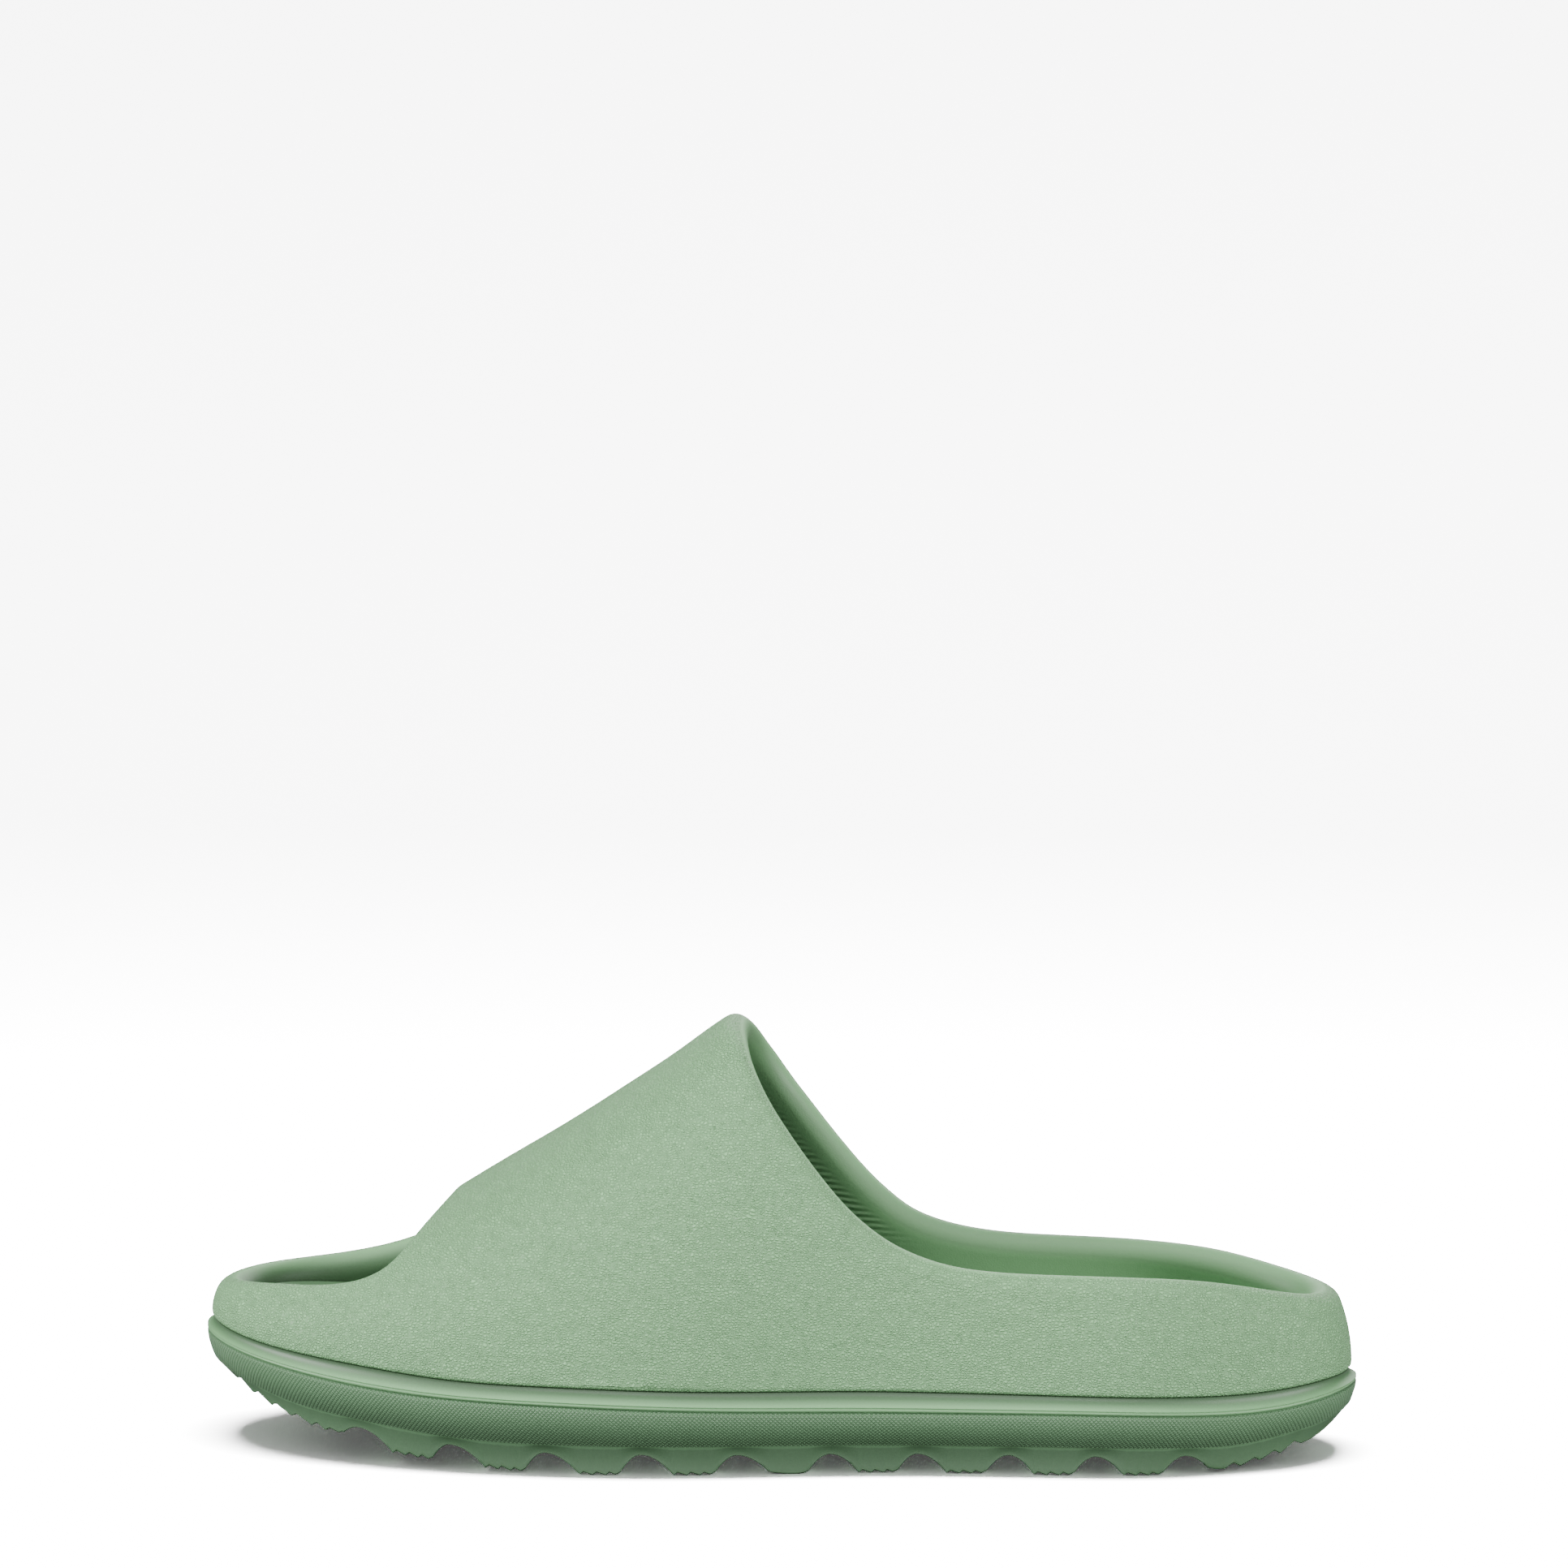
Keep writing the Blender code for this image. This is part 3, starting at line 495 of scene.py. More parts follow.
class Shell:
    """Grids of points gathered into one welded mesh with a face-corner map, a grain mask and a painted shade.
    """

    def __init__(self):
        """Start with no points."""
        self.points, self.uvs, self.masks, self.shades, self.faces, self.count = [], [], [], [], [], 0

    def add(self, rows, uvs=None, mask=0.0, shade=1.0):
        """Quads between neighbouring rows; rows are equally long runs of points."""
        grid = np.array(rows)
        high, wide = grid.shape[:2]
        self.faces.append(grid_quads(high, wide, self.count))
        self.points.append(grid.reshape(-1, 3))
        self.uvs.append(np.zeros((high * wide, 2)) if uvs is None else np.array(uvs).reshape(-1, 2))
        self.masks.append(np.broadcast_to(mask, (high, wide)).reshape(-1))
        self.shades.append(np.broadcast_to(shade, (high, wide)).reshape(-1))
        self.count += high * wide

    def build(self, name, material, sharp=50.0):
        """Weld equal points, drop flat faces, turn the shell outwards and shade it smooth."""
        points = np.concatenate(self.points)
        uvs = np.concatenate(self.uvs)
        # shade holds painted shade, 1 where none is painted
        values = {"grain_mask": np.concatenate(self.masks), "shade": np.concatenate(self.shades)}
        faces = np.concatenate(self.faces)
        weld = 1e-6
        keys = np.round(points / weld).astype(np.int64)
        _, first, back = np.unique(keys, axis=0, return_index=True, return_inverse=True)
        back = back.reshape(-1)
        welded = back[faces]
        same = welded == np.roll(welded, -1, axis=1)
        keep = same.sum(axis=1) < 2
        whole = same.sum(axis=1) == 0
        folded = keep & ~whole
        listed, source = welded[whole].tolist(), faces[whole].tolist()
        for face, raw, gap in zip(welded[folded], faces[folded], same[folded]):
            if len(set(face[~gap])) == 3:
                listed.append(face[~gap].tolist())
                source.append(raw[~gap].tolist())
        mesh = bpy.data.meshes.new(name)
        mesh.from_pydata(points[first], [], listed)
        layer = mesh.uv_layers.new(name="wall_map")
        layer.data.foreach_set("uv", uvs[np.concatenate(source)].astype(np.float32).ravel())
        for label, value in values.items():
            point_value = mesh.attributes.new(label, "FLOAT", "POINT")
            point_value.data.foreach_set("value", value[first].astype(np.float32))
        work = bmesh.new()
        work.from_mesh(mesh)
        bmesh.ops.recalc_face_normals(work, faces=work.faces)
        if work.calc_volume(signed=True) < 0:
            bmesh.ops.reverse_faces(work, faces=work.faces)
        work.to_mesh(mesh)
        work.free()
        mesh.shade_smooth()
        mesh.set_sharp_from_angle(angle=radians(sharp))
        mesh.materials.append(material)
        return linked(name, mesh)


def dress(thing, node):
    """Fix a piece to the body in place of its CAD node."""
    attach(thing, "root")
    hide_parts(node)


def upper_shell(sizes):
    """Outer and inner walls, round rims at both openings, rounded foot above the groove."""
    shell = Shell()
    steps = (sizes.toe_columns, sizes.strap_columns, sizes.collar_columns)
    rows_out, rows_in, rows_rim, fade_rows = 54, 22, 14, 3.0
    for side in (-1, 1):
        turn, grid, normal, rim = upper_half(side, steps, rows_out)
        thick = wall_at(turn, sizes.side_wall, sizes.strap_wall)
        v = np.linspace(0.0, 1.0, rows_out + 1)
        thinned = np.clip(v * THIN_RATE, 0, 1)[None, :]
        wall = sizes.side_wall + (thick[:, None] - sizes.side_wall) * thinned
        inner = grid - normal * wall[:, :, None]
        foot = []
        for bend in np.linspace(pi / 2, 0.0, 5)[:-1]:
            inset = UPPER_INSET + BASE_ROUND * (1.0 - cos(bend))
            drop = BASE_ROUND * (1.0 - sin(bend))
            foot.append(ring(turn, inset, lambda x, drop=drop: level(x, GROOVE) + CLEARANCE + drop, side))
        inside = inner[:, 0].copy()
        inside[:, 2] = level(inside[:, 0], GROOVE) + CLEARANCE
        outer_rows = [inside] + foot + [grid[:, j] for j in range(rows_out + 1)]
        has_rim = rim.any(axis=1)
        shell.add(outer_rows, mask=np.minimum(np.arange(len(outer_rows)), 1.0)[:, None])
        pick = np.round(np.linspace(rows_out, 0, rows_in + 1)).astype(int)
        fade = np.clip(np.arange(rows_in + 2) / fade_rows, 0.0, 1.0)
        # Painted shade on the inner skin and the inner half of the rims, darkest at the toe and under the
        # strap
        dark = painted_inner_shade(inner[:, -1, 0])
        shell.add([inner[:, j] for j in pick] + [inside],
                  mask=np.where(has_rim[None, :], -fade[:, None], -1.0), shade=dark[None, :])
        radius = thick[:, None] / 2.0
        centre = grid[:, -1] - normal[:, -1] * radius
        bends = np.linspace(0.0, pi, rows_rim + 1)
        rows = np.array([centre + radius * (cos(a) * normal[:, -1] + sin(a) * rim) for a in bends])
        rows[0] = grid[:, -1]
        rows[-1] = inner[:, -1]
        first = np.flatnonzero(has_rim)
        split = np.flatnonzero(np.diff(first) > 1)[0] + 1
        grained = np.clip((RIM_GRAIN - bends / pi) / RIM_GRAIN_FADE, 0.0, 1.0)[:, None]
        # inward ramps the painted shade in over the inner half of the rim
        inward = np.clip(RIM_DARK_RATE * bends / pi - RIM_DARK_DELAY, 0.0, 1.0)[:, None]
        shade = 1.0 + (RIM_PAINTED_SHADE * dark[None, :] - 1.0) * inward
        for span in (first[:split], first[split:]):
            shell.add(rows[:, span], mask=grained, shade=shade[:, span])
    return shell


def painted_inner_shade(x):
    """Painted shade on the inner skin at x: most at the toe and under the strap, little at the heel."""
    return np.interp(x, INNER_PAINTED_SHADE_X, INNER_PAINTED_SHADE)


def band_shell(sizes):
    """Smooth band: rounded foot, thin line above it, full lower third, cove in to the groove.

    With s the share of the height and c the climb through the cove, the inset is foot (1 - s / reach)^2
    + lip exp(-((s - middle) / spread)^2) + depth (1 - (1 - c)^2).
    """
    shell = Shell()
    turn = np.linspace(0.0, pi, sizes.band_columns + 1)
    share = BAND_SHARES
    foot = BAND_FOOT * np.clip(1.0 - share / BAND_FOOT_SHARE, 0.0, 1.0) ** 2
    climb = np.clip((share - COVE_START) / COVE_RUN, 0.0, 1.0)
    cove = COVE_PULL * COVE_DEPTH * (1.0 - (1.0 - climb) ** 2)
    lip = LIP * np.exp(-((share - LIP_SHARE) / LIP_SPREAD) ** 2)
    for side in (-1, 1):
        rows = []
        for at, inset in zip(share, foot + cove + lip):
            lift = CLEARANCE * (1.0 - at)
            rows.append(ring(turn, inset, lambda x, at=at, lift=lift:
                             level(x, PARTING) + lift + at * (level(x, GROOVE) - level(x, PARTING)), side))
        rows.append(ring(turn, cove[-1] + SLOT_DEPTH, lambda x: level(x, GROOVE) + SLOT_FILL, side))
        heights = (lambda x: level(x, GROOVE), lambda x: footbed(x) - INSOLE_THICK - CLEARANCE)
        rows += inside_rings(turn, side, sizes.side_wall, heights, (CORE_GAP, CORE_GAP))
        # Painted shade on the band: darker up towards the groove, under the upper's foot
        lasting = np.pad(share, (0, len(rows) - len(share)), "edge")
        shell.add(rows, shade=np.interp(lasting, *np.array(BAND_PAINTED_SHADE).T)[:, None])
        centre_line(shell, rows[0], rows[-1])
    return shell


def centre_line(shell, low, high, shade=1.0):
    """Lids of a ring: straight across from this side to the centre line, below and above."""
    for edge in (low, high):
        middle = edge.copy()
        middle[:, 1] = spline(TURNS, CENTRES, turn_of(middle[:, 0]))
        shares = np.linspace(0.0, 1.0, 5)[:, None, None]
        shell.add(edge[None] + (middle - edge)[None] * shares, shade=shade)


def insole_shell(sizes):
    """Footbed that cups up to the walls by a smooth step: height = bed + rise (1 - s)^2 (1 + 2 s)."""
    shell = Shell()
    columns, rings = 220, 14
    turn = np.linspace(0.0, pi, columns + 1)
    share = np.linspace(0.0, 1.0, rings + 1)
    for side in (-1, 1):
        heights = [lambda x: footbed(x) - INSOLE_THICK]
        heights += [lambda x, s=s: footbed(x) + CUP_RISE * (1.0 - s) ** 2 * (1.0 + 2.0 * s) for s in share]
        shifts = [CORE_GAP] + [BED_GAP + CUP_REACH * CUP_WIDTH * s for s in share]
        rows = inside_rings(turn, side, sizes.side_wall, heights, shifts)
        # Painted shade on the footbed, as on the inner skin
        shade = painted_inner_shade(rows[-1][:, 0])[None, :]
        shell.add(rows, shade=shade)
        centre_line(shell, rows[0], rows[-1], shade)
    return shell


def wall_rows(turn, at, side):
    """Rows of the textured wall and its map in millimetres: run along the edge, length down the wall.

    At share s of the height the inset is the crease's times (1 - cos(curl s)) / (1 - cos curl).
    """
    run = run_length(plan(turn, 0.0, side))
    crease_inset = level(at, CREASE_INSET)
    full = 1.0 - cos(WALL_CURL)
    rows = []
    for share in WALL_SHARES:
        curl = (1.0 - cos(WALL_CURL * share)) / full
        edge = WALL_EDGE * max(0.0, 1.0 - share / WALL_EDGE_SHARE) ** 2
        rows.append(ring(turn, crease_inset * curl + edge, lambda x, s=share:
                         level(x, PARTING) + s * (level(x, CREASE) - level(x, PARTING)), side))
    depth = np.zeros(len(turn))
    maps = [np.stack([run, depth], axis=-1)]
    for low, high in zip(rows[1:], rows[:-1]):
        depth = depth + np.linalg.norm(low - high, axis=1)
        maps.append(np.stack([run, depth], axis=-1))
    return rows, np.array(maps) / MM


def skirt_rows(turn, at, side, top, profile):
    """Rows of the smooth skirt, from the crease to the lugs' rounded edge, pulled in at mid height."""
    sole = lambda x: np.interp(x, profile[:, 0], profile[:, 1])
    foot_x = at.copy()
    settling_rounds = 6
    for _ in range(settling_rounds):
        foot_inset = level(foot_x, FOOT_INSET)
        foot_x = -(HALF - foot_inset) * np.cos(turn)
    foot = ring(turn, foot_inset, sole, side)
    rows = [top]
    for share in SKIRT_SHARES:
        row = top + (foot - top) * share
        pull = SKIRT_PULL * sin(pi * share)
        row[:, 1] -= side * pull * np.sin(turn)
        rows.append(row)
    under = ring(turn, foot_inset + SKIRT_ROUND[0], sole, side)
    foot[:, 2] += SKIRT_ROUND[1]
    return rows + [foot, under]


def outsole_shell(sizes):
    """Textured wall curling under to the crease, then the smooth skirt, lugs and fine teeth."""
    shell = Shell()
    profile = tread_points(sizes.tooth_depth)
    xs = profile[1:-1, 0]
    extra = np.linspace(-WALL_END, WALL_END, sizes.wall_columns)
    near = np.abs(extra[:, None] - xs[None, :]).min(axis=1)
    both = np.sort(np.concatenate([xs, extra[near > WALL_SPACE]]))
    turn = turn_of(both, level(both, FOOT_INSET))
    turn = np.concatenate([[0.0], turn[(turn > TIP_TURN) & (turn < pi - TIP_TURN)], [pi]])
    at = -HALF * np.cos(turn)
    for side in (-1, 1):
        rows, maps = wall_rows(turn, at, side)
        shell.add(rows, uvs=maps, mask=1.0)
        skirt = skirt_rows(turn, at, side, rows[-1], profile)
        # Painted shade on the skirt and lugs, darkest at the top under the wall
        shell.add(skirt, shade=np.linspace(*SKIRT_PAINTED_SHADE, len(skirt))[:, None])
        inset_top = ring(turn, WALL_EDGE + SLOT_DEPTH, lambda x: level(x, PARTING) + SLOT_FILL, side)
        shell.add([inset_top, rows[0]])
        centre_line(shell, inset_top, skirt[-1])
    return shell


class Graph:
    """Short hand for nodes and links of one node tree."""

    def __init__(self, tree):
        """Keep the tree."""
        self.tree = tree

    def node(self, kind, **settings):
        """New shader node; first properties as _name=value, then inputs as name=value or i0=value."""
        made = self.tree.nodes.new("ShaderNode" + kind)
        for name, value in settings.items():
            if name.startswith("_"):
                setattr(made, name[1:], value)
            else:
                self.feed(made, int(name[1:]) if name[1:].isdigit() else name.replace("_", " "), value)
        return made

    def feed(self, made, name, value):
        """Set or link one input."""
        if isinstance(value, bpy.types.NodeSocket):
            self.tree.links.new(value, made.inputs[name])
        else:
            made.inputs[name].default_value = value

    def math(self, operation, a, b=0.0):
        """Math node's value."""
        return self.node("Math", _operation=operation, i0=a, i1=b).outputs[0]

    def linear(self, value, factor, shift):
        """Value times a factor, plus a shift."""
        return self.math("ADD", self.math("MULTIPLY", value, factor), shift)

    def between(self, inside, outside, mask):
        """Inside where the mask is 1 and outside where it is 0."""
        off = self.math("SUBTRACT", 1.0, mask)
        return self.math("ADD", self.math("MULTIPLY", inside, mask), self.math("MULTIPLY", outside, off))

    def place(self):
        """Object coordinates, in metres."""
        return self.node("TexCoord").outputs["Object"]

    def point_value(self, name):
        """Value that the mesh holds at its points."""
        return self.node("Attribute", _attribute_name=name).outputs["Fac"]

    def noise(self, place, scale, detail):
        """Noise round 0.5; its detail counts the finer layers."""
        return self.node("TexNoise", Vector=place, Scale=scale, Detail=detail).outputs["Fac"]

    def part(self, vector, index):
        """One part of a vector: 0, 1, 2 for x, y, z."""
        return self.node("SeparateXYZ", Vector=vector).outputs[index]

    def vector(self, operation, a, **more):
        """Vector math node's vector."""
        return self.node("VectorMath", _operation=operation, i0=a, **more).outputs[0]

    def ramp(self, value, low, high):
        """Smooth step from 0 at low to 1 at high."""
        return self.node("MapRange", _interpolation_type="SMOOTHSTEP", Value=value,
                         From_Min=low, From_Max=high).outputs[0]


def group(name, inputs, outputs):
    """Graph of an empty shader group with named sockets, what comes in, and its end node."""
    if name in bpy.data.node_groups:
        bpy.data.node_groups.remove(bpy.data.node_groups[name])
    tree = bpy.data.node_groups.new(name, "ShaderNodeTree")
    for label, kind, value in inputs:
        made = tree.interface.new_socket(name=label, in_out="INPUT", socket_type="NodeSocket" + kind)
        made.default_value = value
    for label, kind in outputs:
        tree.interface.new_socket(name=label, in_out="OUTPUT", socket_type="NodeSocket" + kind)
    return Graph(tree), tree.nodes.new("NodeGroupInput").outputs, tree.nodes.new("NodeGroupOutput")


def foam_tone_group():
    """Foam colour: base shifted by a broad drift and a fine speckle, darkened by painted shade where the
    grain dips and where the mesh carries it.
    """
    g, start, end = group("Foam tone", (
        ("Tint", "Color", (0.3, 0.4, 0.3, 1.0)), ("Drift", "Float", 0.05),
        ("Speckle", "Float", 0.05), ("Dip", "Float", 1.0)),
        (("Color", "Color"), ("Roughness", "Float")))
    base_rough, broad_rough, fine_rough = 0.50, 0.08, 0.10
    place = g.place()
    broad = g.noise(place, scale=22.0, detail=3.0)
    fine = g.math("SUBTRACT", g.noise(place, scale=1500.0, detail=2.0), 0.5)
    swing = g.math("MULTIPLY", g.math("SUBTRACT", broad, 0.5), start["Drift"])
    grit = g.math("MULTIPLY", fine, start["Speckle"])
    # Painted shade, plus the random drift and speckle, is laid on the tint
    shade = g.math("ADD", g.math("ADD", swing, grit), start["Dip"])
    grey = g.node("CombineColor", Red=shade, Green=shade, Blue=shade).outputs[0]
    tint = g.node("Mix", _data_type="RGBA", _blend_type="MULTIPLY", i0=1.0,
                  i6=start["Tint"], i7=grey).outputs[2]
    g.feed(end, "Color", tint)
    g.feed(end, "Roughness", g.linear(fine, fine_rough, g.linear(broad, broad_rough, base_rough)))


def shifted(g, place, scale, push):
    """Vector pushed about by a noise of the given scale."""
    noise = g.node("TexNoise", Vector=place, Scale=scale, Detail=1.0).outputs["Color"]
    centred = g.vector("SUBTRACT", noise, i1=(0.5, 0.5, 0.5))
    return g.vector("ADD", place, i1=g.vector("SCALE", centred, Scale=push))


def pebble_group():
    """Pebbled grain: height and crease rise smoothly with the distance from the nearest cell edge.

    The cells are longer than high, swirled by a slow noise and bent by a fast one.
    """
    g, start, end = group("Pebble grain", (
        ("Cell size", "Float", 0.9), ("Swirl", "Float", 1.4)),
        (("Height", "Float"), ("Crease", "Float")))
    pebble_top, crease_top = 0.36, 0.26
    scaled = g.vector("SCALE", g.place(), Scale=g.math("DIVIDE", 1.0 / MM, start["Cell size"]))
    swirled = shifted(g, scaled, 0.14, start["Swirl"])
    longer = g.vector("MULTIPLY", swirled, i1=(0.85, 0.85, 1.15))
    cells = g.node("TexVoronoi", _feature="DISTANCE_TO_EDGE", Scale=1.0, Randomness=0.8,
                   Vector=shifted(g, longer, 0.6, 0.5))
    g.feed(end, "Height", g.ramp(cells.outputs["Distance"], 0.0, pebble_top))
    g.feed(end, "Crease", g.ramp(cells.outputs["Distance"], 0.0, crease_top))


def diamond_group():
    """Diamond knurl on the wall map: the lower of two slanted triangle waves, as small pyramids."""
    g, start, end = group("Diamond knurl", (("Pitch", "Float", 1.1),),
                          (("Height", "Float"), ("Groove", "Float")))
    pyramid_top, groove_top = 0.75, 0.45
    wall_map = g.node("UVMap", _uv_map="wall_map").outputs[0]
    along, down = g.part(wall_map, 0), g.part(wall_map, 1)
    waves = []
    for turned in (g.math("ADD", along, down), g.math("SUBTRACT", along, down)):
        share = g.math("DIVIDE", turned, start["Pitch"])
        waves.append(g.math("MULTIPLY", g.math("PINGPONG", share, 0.5), 2.0))
    low = g.math("MINIMUM", *waves)
    g.feed(end, "Height", g.ramp(low, 0.0, pyramid_top))
    g.feed(end, "Groove", g.ramp(low, 0.0, groove_top))


def group_node(g, name, **values):
    """A shader group placed in a graph with its own values."""
    return g.node("Group", _node_tree=bpy.data.node_groups[name], **values)


def empty_material(name):
    """Material without nodes, and its graph."""
    material = bpy.data.materials.new(name)
    material.use_nodes = True
    material.node_tree.nodes.clear()
    return material, Graph(material.node_tree)


def foam_material(name, tint, rough_shift, depth, build_relief):
    """Foam: Principled shader fed by the tone group; build_relief gives height and painted shade in its
    graph.
    """
    material, g = empty_material(name)
    height, painted_relief_shade = build_relief(g)
    # The mesh's shade value is painted shade; it multiplies the relief's painted shade
    tone = group_node(g, "Foam tone", Tint=(*tint, 1.0), Dip=g.math("MULTIPLY", painted_relief_shade, g.point_value("shade")))
    bump = g.node("Bump", Strength=1.0, Distance=depth, Height=height)
    shader = g.node("BsdfPrincipled", IOR=1.45, Specular_IOR_Level=0.42,
                    Base_Color=tone.outputs["Color"], Normal=bump.outputs[0],
                    Roughness=g.math("ADD", tone.outputs["Roughness"], rough_shift))
    g.node("OutputMaterial", Surface=shader.outputs[0])
    return material


def grain_relief(g, cell, swirl):
    """Relief of the upper: pebbles outside, skin on the rims, fine level ribs inside the strap; painted shade
    in the pebbles' creases and faint painted light on their tops.

    The mask is 1 on the grained outside, 0 on the rims and -1 on the inner wall.
    """
    skin_height, rib_height, rim_height = 0.14, 0.8, 1.1
    rib_pitch, ribs_from, ribs_full = 1.6 * MM, 46.0 * MM, 58.0 * MM
    # Colour factor of the grain: painted shade at the cell edges, faint painted light on the pebble tops
    crease_painted_shade, pebble_painted_light = 0.64, 1.06
    pebble = group_node(g, "Pebble grain", Cell_size=cell, Swirl=swirl)
    mask = g.point_value("grain_mask")
    grained = g.ramp(mask, 0.0, 1.0)
    inside = g.ramp(g.math("MULTIPLY", mask, -1.0), 0.2, 1.0)
    place = g.place()
    rise = g.part(shifted(g, place, 60.0, 1.6 * MM), 2)
    rib = g.math("SINE", g.math("MULTIPLY", rise, 2.0 * pi / rib_pitch))
    ribbed = g.math("MULTIPLY", inside, g.ramp(rise, ribs_from, ribs_full))
    skin = g.linear(g.noise(place, scale=2600.0, detail=2.0), skin_height, rim_height)
    plain = g.linear(g.math("MULTIPLY", rib, ribbed), rib_height, skin)
    tone = g.linear(pebble.outputs["Crease"], pebble_painted_light - crease_painted_shade, crease_painted_shade)
    return g.between(pebble.outputs["Height"], plain, grained), g.between(tone, 1.0, grained)


def skin_relief(g):
    """Relief of smooth moulded foam: fine skin noise, no painted shade."""
    return g.noise(g.place(), scale=2200.0, detail=3.0), 1.0


def knurl_relief(g, pitch):
    """Relief of the outsole: diamonds on the wall with painted shade over it, deepest in their grooves and
    towards its foot; skin on skirt and lugs.
    """
    skin_height, skin_tone = 0.1, 0.97
    # Painted shade on the wall: factor in the diamonds' grooves and on their tops, and its further loss
    # towards the foot
    groove_painted_shade, top_painted_shade, foot_painted_shade = 0.34, 0.62, 0.17
    foot_from, foot_full = 2.0, 11.0
    knurl = group_node(g, "Diamond knurl", Pitch=pitch)
    mask = g.point_value("grain_mask")
    skin = g.math("MULTIPLY", skin_relief(g)[0], skin_height)
    down = g.part(g.node("UVMap", _uv_map="wall_map").outputs[0], 1)
    lost_to_painted_shade = g.math("MULTIPLY", g.ramp(down, foot_from, foot_full), foot_painted_shade)
    tone = g.math("SUBTRACT", g.linear(knurl.outputs["Groove"], top_painted_shade - groove_painted_shade, groove_painted_shade), lost_to_painted_shade)
    return g.between(knurl.outputs["Height"], skin, mask), g.between(tone, skin_tone, mask)


def length_size(name, description, value):
    """Property for a length in metres."""
    return bpy.props.FloatProperty(name=name, description=description, default=value, subtype="DISTANCE",
                                   unit="LENGTH")


def foam_color(name, description, value):
    """Property for a linear colour."""
    return bpy.props.FloatVectorProperty(name=name, description=description, default=value, subtype="COLOR",
                                         min=0.0, max=1.0)


def whole_number(name, description, value):
    """Property for a count."""
    return bpy.props.IntProperty(name=name, description=description, default=value)


class SlideSizes(bpy.types.PropertyGroup):
    """Sizes and colours of the slide that a user would change."""

    side_wall: length_size("Side wall", "Thickness of the side walls", 9.0 * MM)
    strap_wall: length_size("Strap wall", "Thickness of the strap", 8.0 * MM)
    tooth_depth: length_size("Tooth depth", "Depth of the fine notches under the lugs", 0.75 * MM)
    grain_size: bpy.props.FloatProperty(
        name="Grain size", description="Width of one pebble of the grain, in millimetres", default=0.74)
    grain_depth: length_size("Grain depth", "Depth of the pebbled grain", 0.30 * MM)
    diamond_pitch: bpy.props.FloatProperty(
        name="Diamond pitch", description="Pitch of the sole wall's diamonds, in millimetres", default=1.1)
    diamond_depth: length_size("Diamond depth", "Depth of the diamonds", 0.16 * MM)
    toe_columns: whole_number("Toe columns", "Columns round the toe opening", 110)
    strap_columns: whole_number("Strap columns", "Columns along the strap", 80)
    collar_columns: whole_number("Collar columns", "Columns round the collar", 210)
    band_columns: whole_number("Band columns", "Columns round the side band", 420)
    wall_columns: whole_number("Wall columns", "Columns along the sole wall", 500)
    upper_color: foam_color("Upper colour", "Foam colour of the upper", (0.152, 0.318, 0.148))
    band_color: foam_color("Band colour", "Foam colour of the side band", (0.142, 0.306, 0.140))
    sole_color: foam_color("Sole colour", "Foam colour of the sole", (0.120, 0.256, 0.124))
    floor_color: foam_color("Floor colour", "Colour of floor and backdrop", (0.90, 0.90, 0.90))


class SLIDE_OT_finishes(bpy.types.Operator):
    """Build the shared shader groups"""

    bl_idname = "slide.finishes"
    bl_label = "Finishes"

    def execute(self, context):
        """Make each group once."""
        foam_tone_group()
        pebble_group()
        diamond_group()
        return {"FINISHED"}


class SLIDE_OT_outsole(bpy.types.Operator):
    """Build the outsole with its textured wall and lugs"""

    bl_idname = "slide.outsole"
    bl_label = "Outsole"

    def execute(self, context):
        """Build and fix the piece."""
        sizes = context.scene.slide_sizes
        material = foam_material("sole_foam", sizes.sole_color, 0.02, sizes.diamond_depth,
                                 lambda g: knurl_relief(g, sizes.diamond_pitch))
        dress(outsole_shell(sizes).build("outsole_shell", material, sharp=38.0), "outsole")
        return {"FINISHED"}


class SLIDE_OT_band(bpy.types.Operator):
    """Build the smooth band between sole and upper"""

    bl_idname = "slide.band"
    bl_label = "Side band"

    def execute(self, context):
        """Build and fix the piece."""
        sizes = context.scene.slide_sizes
        material = foam_material("band_foam", sizes.band_color, -0.06, 0.01 * MM, skin_relief)
        dress(band_shell(sizes).build("side_band", material), "midsole")
        return {"FINISHED"}


class SLIDE_OT_insole(bpy.types.Operator):
    """Build the footbed"""

    bl_idname = "slide.insole"
    bl_label = "Footbed"

    def execute(self, context):
        """Build and fix the piece."""
        sizes = context.scene.slide_sizes
        material = foam_material("footbed_foam", sizes.band_color, 0.06, 0.02 * MM, skin_relief)
        dress(insole_shell(sizes).build("footbed", material), "insole")
        return {"FINISHED"}


class SLIDE_OT_upper(bpy.types.Operator):
    """Build the grained upper with its rims"""

    bl_idname = "slide.upper"
    bl_label = "Upper"

    def execute(self, context):
        """Build and fix the piece."""
        sizes = context.scene.slide_sizes
        material = foam_material("upper_foam", sizes.upper_color, 0.02, sizes.grain_depth,
                                 lambda g: grain_relief(g, sizes.grain_size, swirl=2.4))
        dress(upper_shell(sizes).build("upper_shell", material), "upper")
        return {"FINISHED"}


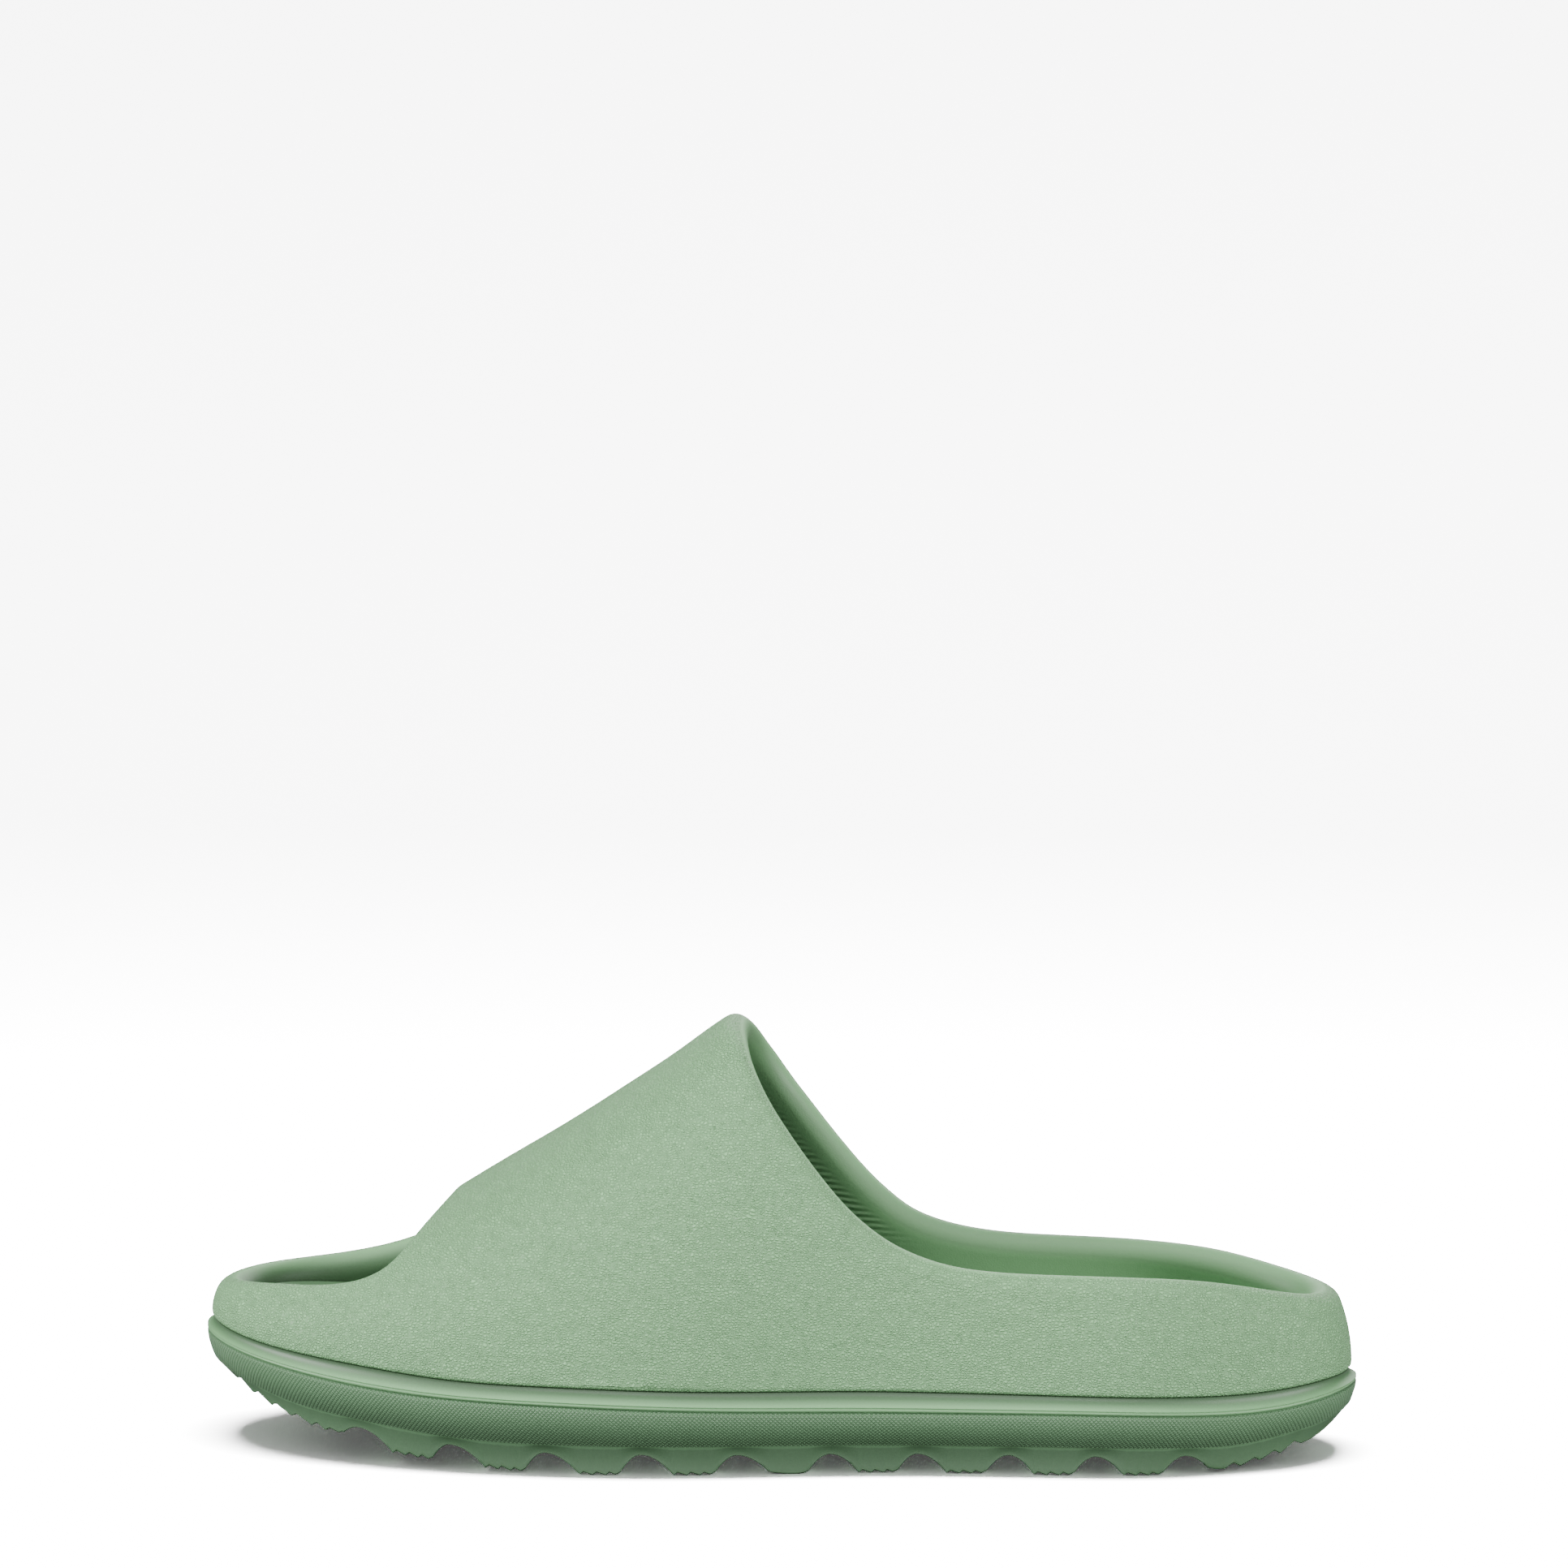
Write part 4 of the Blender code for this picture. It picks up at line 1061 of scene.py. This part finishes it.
# Lamps: name, place, target, width and height (m), power (W)
PAPER_LAMP = ("paper_box", (0.0, -0.02, 1.0), (0.0, 0.0, 0.0), (0.9, 0.45), 100.0)
SLIDE_LAMPS = (
    ("top_box", (-0.1, -0.25, 1.1), (0.0, 0.0, 0.04), (1.1, 0.7), 13.0),
    ("front_box", (-0.1, -1.6, 0.10), (0.0, 0.0, 0.05), (1.5, 0.18), 31.0),
    ("left_box", (-1.3, -0.45, 0.65), (-0.05, 0.0, 0.05), (0.6, 0.6), 44.0),
    ("right_box", (1.3, -0.55, 0.50), (0.05, 0.0, 0.05), (0.6, 0.5), 31.0),
    ("back_box", (0.2, 1.4, 0.7), (0.0, 0.0, 0.05), (1.2, 0.5), 12.0))


def studio_light(name, place, target, size, power, lit):
    """Rectangular lamp at a place, aimed at a target, flagged so that it lights one collection only."""
    lamp = bpy.data.lights.new(name, "AREA")
    lamp.shape = "RECTANGLE"
    lamp.size, lamp.size_y = size
    lamp.energy = power
    thing = linked(name, lamp)
    thing.location = place
    thing.rotation_euler = (Vector(target) - Vector(place)).to_track_quat("-Z", "Y").to_euler()
    thing.light_linking.receiver_collection = lit


class SLIDE_OT_stage(bpy.types.Operator):
    """Build the floor, the backdrop, the lamps and the camera"""

    bl_idname = "slide.stage"
    bl_label = "Stage"

    def execute(self, context):
        """Build the set round the slide."""
        sizes = context.scene.slide_sizes
        slide = bpy.data.collections.new("lit_slide")
        for thing in context.scene.objects:
            if thing.name in SHELLS:
                slide.objects.link(thing)
        floor = sweep_floor(sizes)
        paper = bpy.data.collections.new("lit_paper")
        paper.objects.link(floor)
        context.scene.world = studio_world()
        studio_light(*PAPER_LAMP, paper)
        for lamp in SLIDE_LAMPS:
            studio_light(*lamp, slide)
        set_camera(context)
        return {"FINISHED"}


def studio_world():
    """Sky that is bright overhead and dims to the horizon, by a smooth step on the view's height."""
    horizon, overhead, low, high = 0.10, 0.32, -0.1, 0.9
    world = bpy.data.worlds.new("studio")
    world.use_nodes = True
    g = Graph(world.node_tree)
    rise = g.part(g.node("TexCoord").outputs["Generated"], 2)
    sky = world.node_tree.nodes["Background"]
    g.feed(sky, "Color", (1.0, 1.0, 1.0, 1.0))
    g.feed(sky, "Strength", g.linear(g.ramp(rise, low, high), overhead - horizon, horizon))
    return world


def paper_material(tint):
    """Paper that the camera sees brighter than its bounce, so that it stays pale under soft light."""
    seen_gain, bounce_gain = 3.1, 0.055
    near_glow, far_glow, near_y, far_y = 0.07, 6.0, 0.15, 0.7
    material, g = empty_material("paper")
    seen, bounced = (g.node("BsdfDiffuse", Color=(*(gain * part for part in tint), 1.0)).outputs[0]
                     for gain in (seen_gain, bounce_gain))
    strength = g.linear(g.ramp(g.part(g.place(), 1), near_y, far_y), far_glow, near_glow)
    glow = g.node("Emission", Color=(1.0, 1.0, 1.0, 1.0), Strength=strength)
    lifted = g.node("AddShader", i0=seen, i1=glow.outputs[0])
    mix = g.node("MixShader", i0=g.node("LightPath").outputs["Is Camera Ray"],
                 i1=bounced, i2=lifted.outputs[0])
    g.node("OutputMaterial", Surface=mix.outputs[0])
    return material


def sweep_floor(sizes):
    """Seamless sweep: flat floor, quarter circle, upright backdrop, carried along x."""
    radius, front, back, high, half, steps = 0.8, -3.0, 1.6, 3.0, 4.0, 24
    bend = np.linspace(0.0, pi / 2, steps)
    y = np.concatenate([[front], back + radius * np.sin(bend), [back + radius]])
    z = np.concatenate([[0.0], radius * (1.0 - np.cos(bend)), [high]])
    grid = np.array([[(x, at_y, at_z) for x in (-half, half)] for at_y, at_z in zip(y, z)])
    mesh = bpy.data.meshes.new("floor")
    mesh.from_pydata(grid.reshape(-1, 3), [], grid_quads(len(y), 2).tolist())
    mesh.shade_smooth()
    mesh.materials.append(paper_material(sizes.floor_color))
    return linked("floor", mesh)


def set_camera(context):
    """Camera 1.8 m away at azimuth 5 and elevation 9 degrees; the target falls on the aim point (pixels)."""
    focal, size, sensor = 8823.6, 1932.0, 36.0
    aim_x, aim_y = 957.5, 1559.0
    azimuth, elevation, distance = radians(5.0), radians(9.0), 1.8
    target = Vector((0.0, 0.0, 0.045))
    back = Vector((sin(azimuth) * cos(elevation), -cos(azimuth) * cos(elevation), sin(elevation)))
    data = bpy.data.cameras.new("camera")
    data.sensor_width = sensor
    data.lens = focal / size * sensor
    data.clip_start = 0.05
    data.clip_end = 50.0
    camera = linked("camera", data)
    camera.location = target + back * distance
    pitch = elevation - atan((aim_y - size / 2.0) / focal)
    heading = azimuth + atan((aim_x - size / 2.0) / focal)
    camera.rotation_euler = (pi / 2 - pitch, 0.0, heading)
    context.scene.camera = camera


SHELLS = ("outsole_shell", "side_band", "footbed", "upper_shell")
PIECES = (SLIDE_OT_finishes, SLIDE_OT_outsole, SLIDE_OT_band, SLIDE_OT_insole, SLIDE_OT_upper, SLIDE_OT_stage)


class SLIDE_PT_panel(bpy.types.Panel):
    """Sizes and build buttons of the slide"""

    bl_idname = "SLIDE_PT_panel"
    bl_label = "Slide sandal"
    bl_space_type = "VIEW_3D"
    bl_region_type = "UI"
    bl_category = "Slide"

    def draw(self, context):
        """List the sizes, then one button per piece."""
        sizes = context.scene.slide_sizes
        for name in SlideSizes.__annotations__:
            self.layout.prop(sizes, name)
        for piece in PIECES:
            self.layout.operator(piece.bl_idname)


CLASSES = (SlideSizes, *PIECES, SLIDE_PT_panel)


def register():
    """Register the classes and hang the sizes on the scene."""
    for cls in CLASSES:
        bpy.utils.register_class(cls)
    bpy.types.Scene.slide_sizes = bpy.props.PointerProperty(type=SlideSizes)


def unregister():
    """Take the classes and the sizes off again."""
    del bpy.types.Scene.slide_sizes
    for cls in reversed(CLASSES):
        bpy.utils.unregister_class(cls)


def main():
    """Register and build every piece in order."""
    register()
    bpy.ops.slide.finishes()
    bpy.ops.slide.outsole()
    bpy.ops.slide.band()
    bpy.ops.slide.insole()
    bpy.ops.slide.upper()
    bpy.ops.slide.stage()


if __name__ == "__main__":
    main()
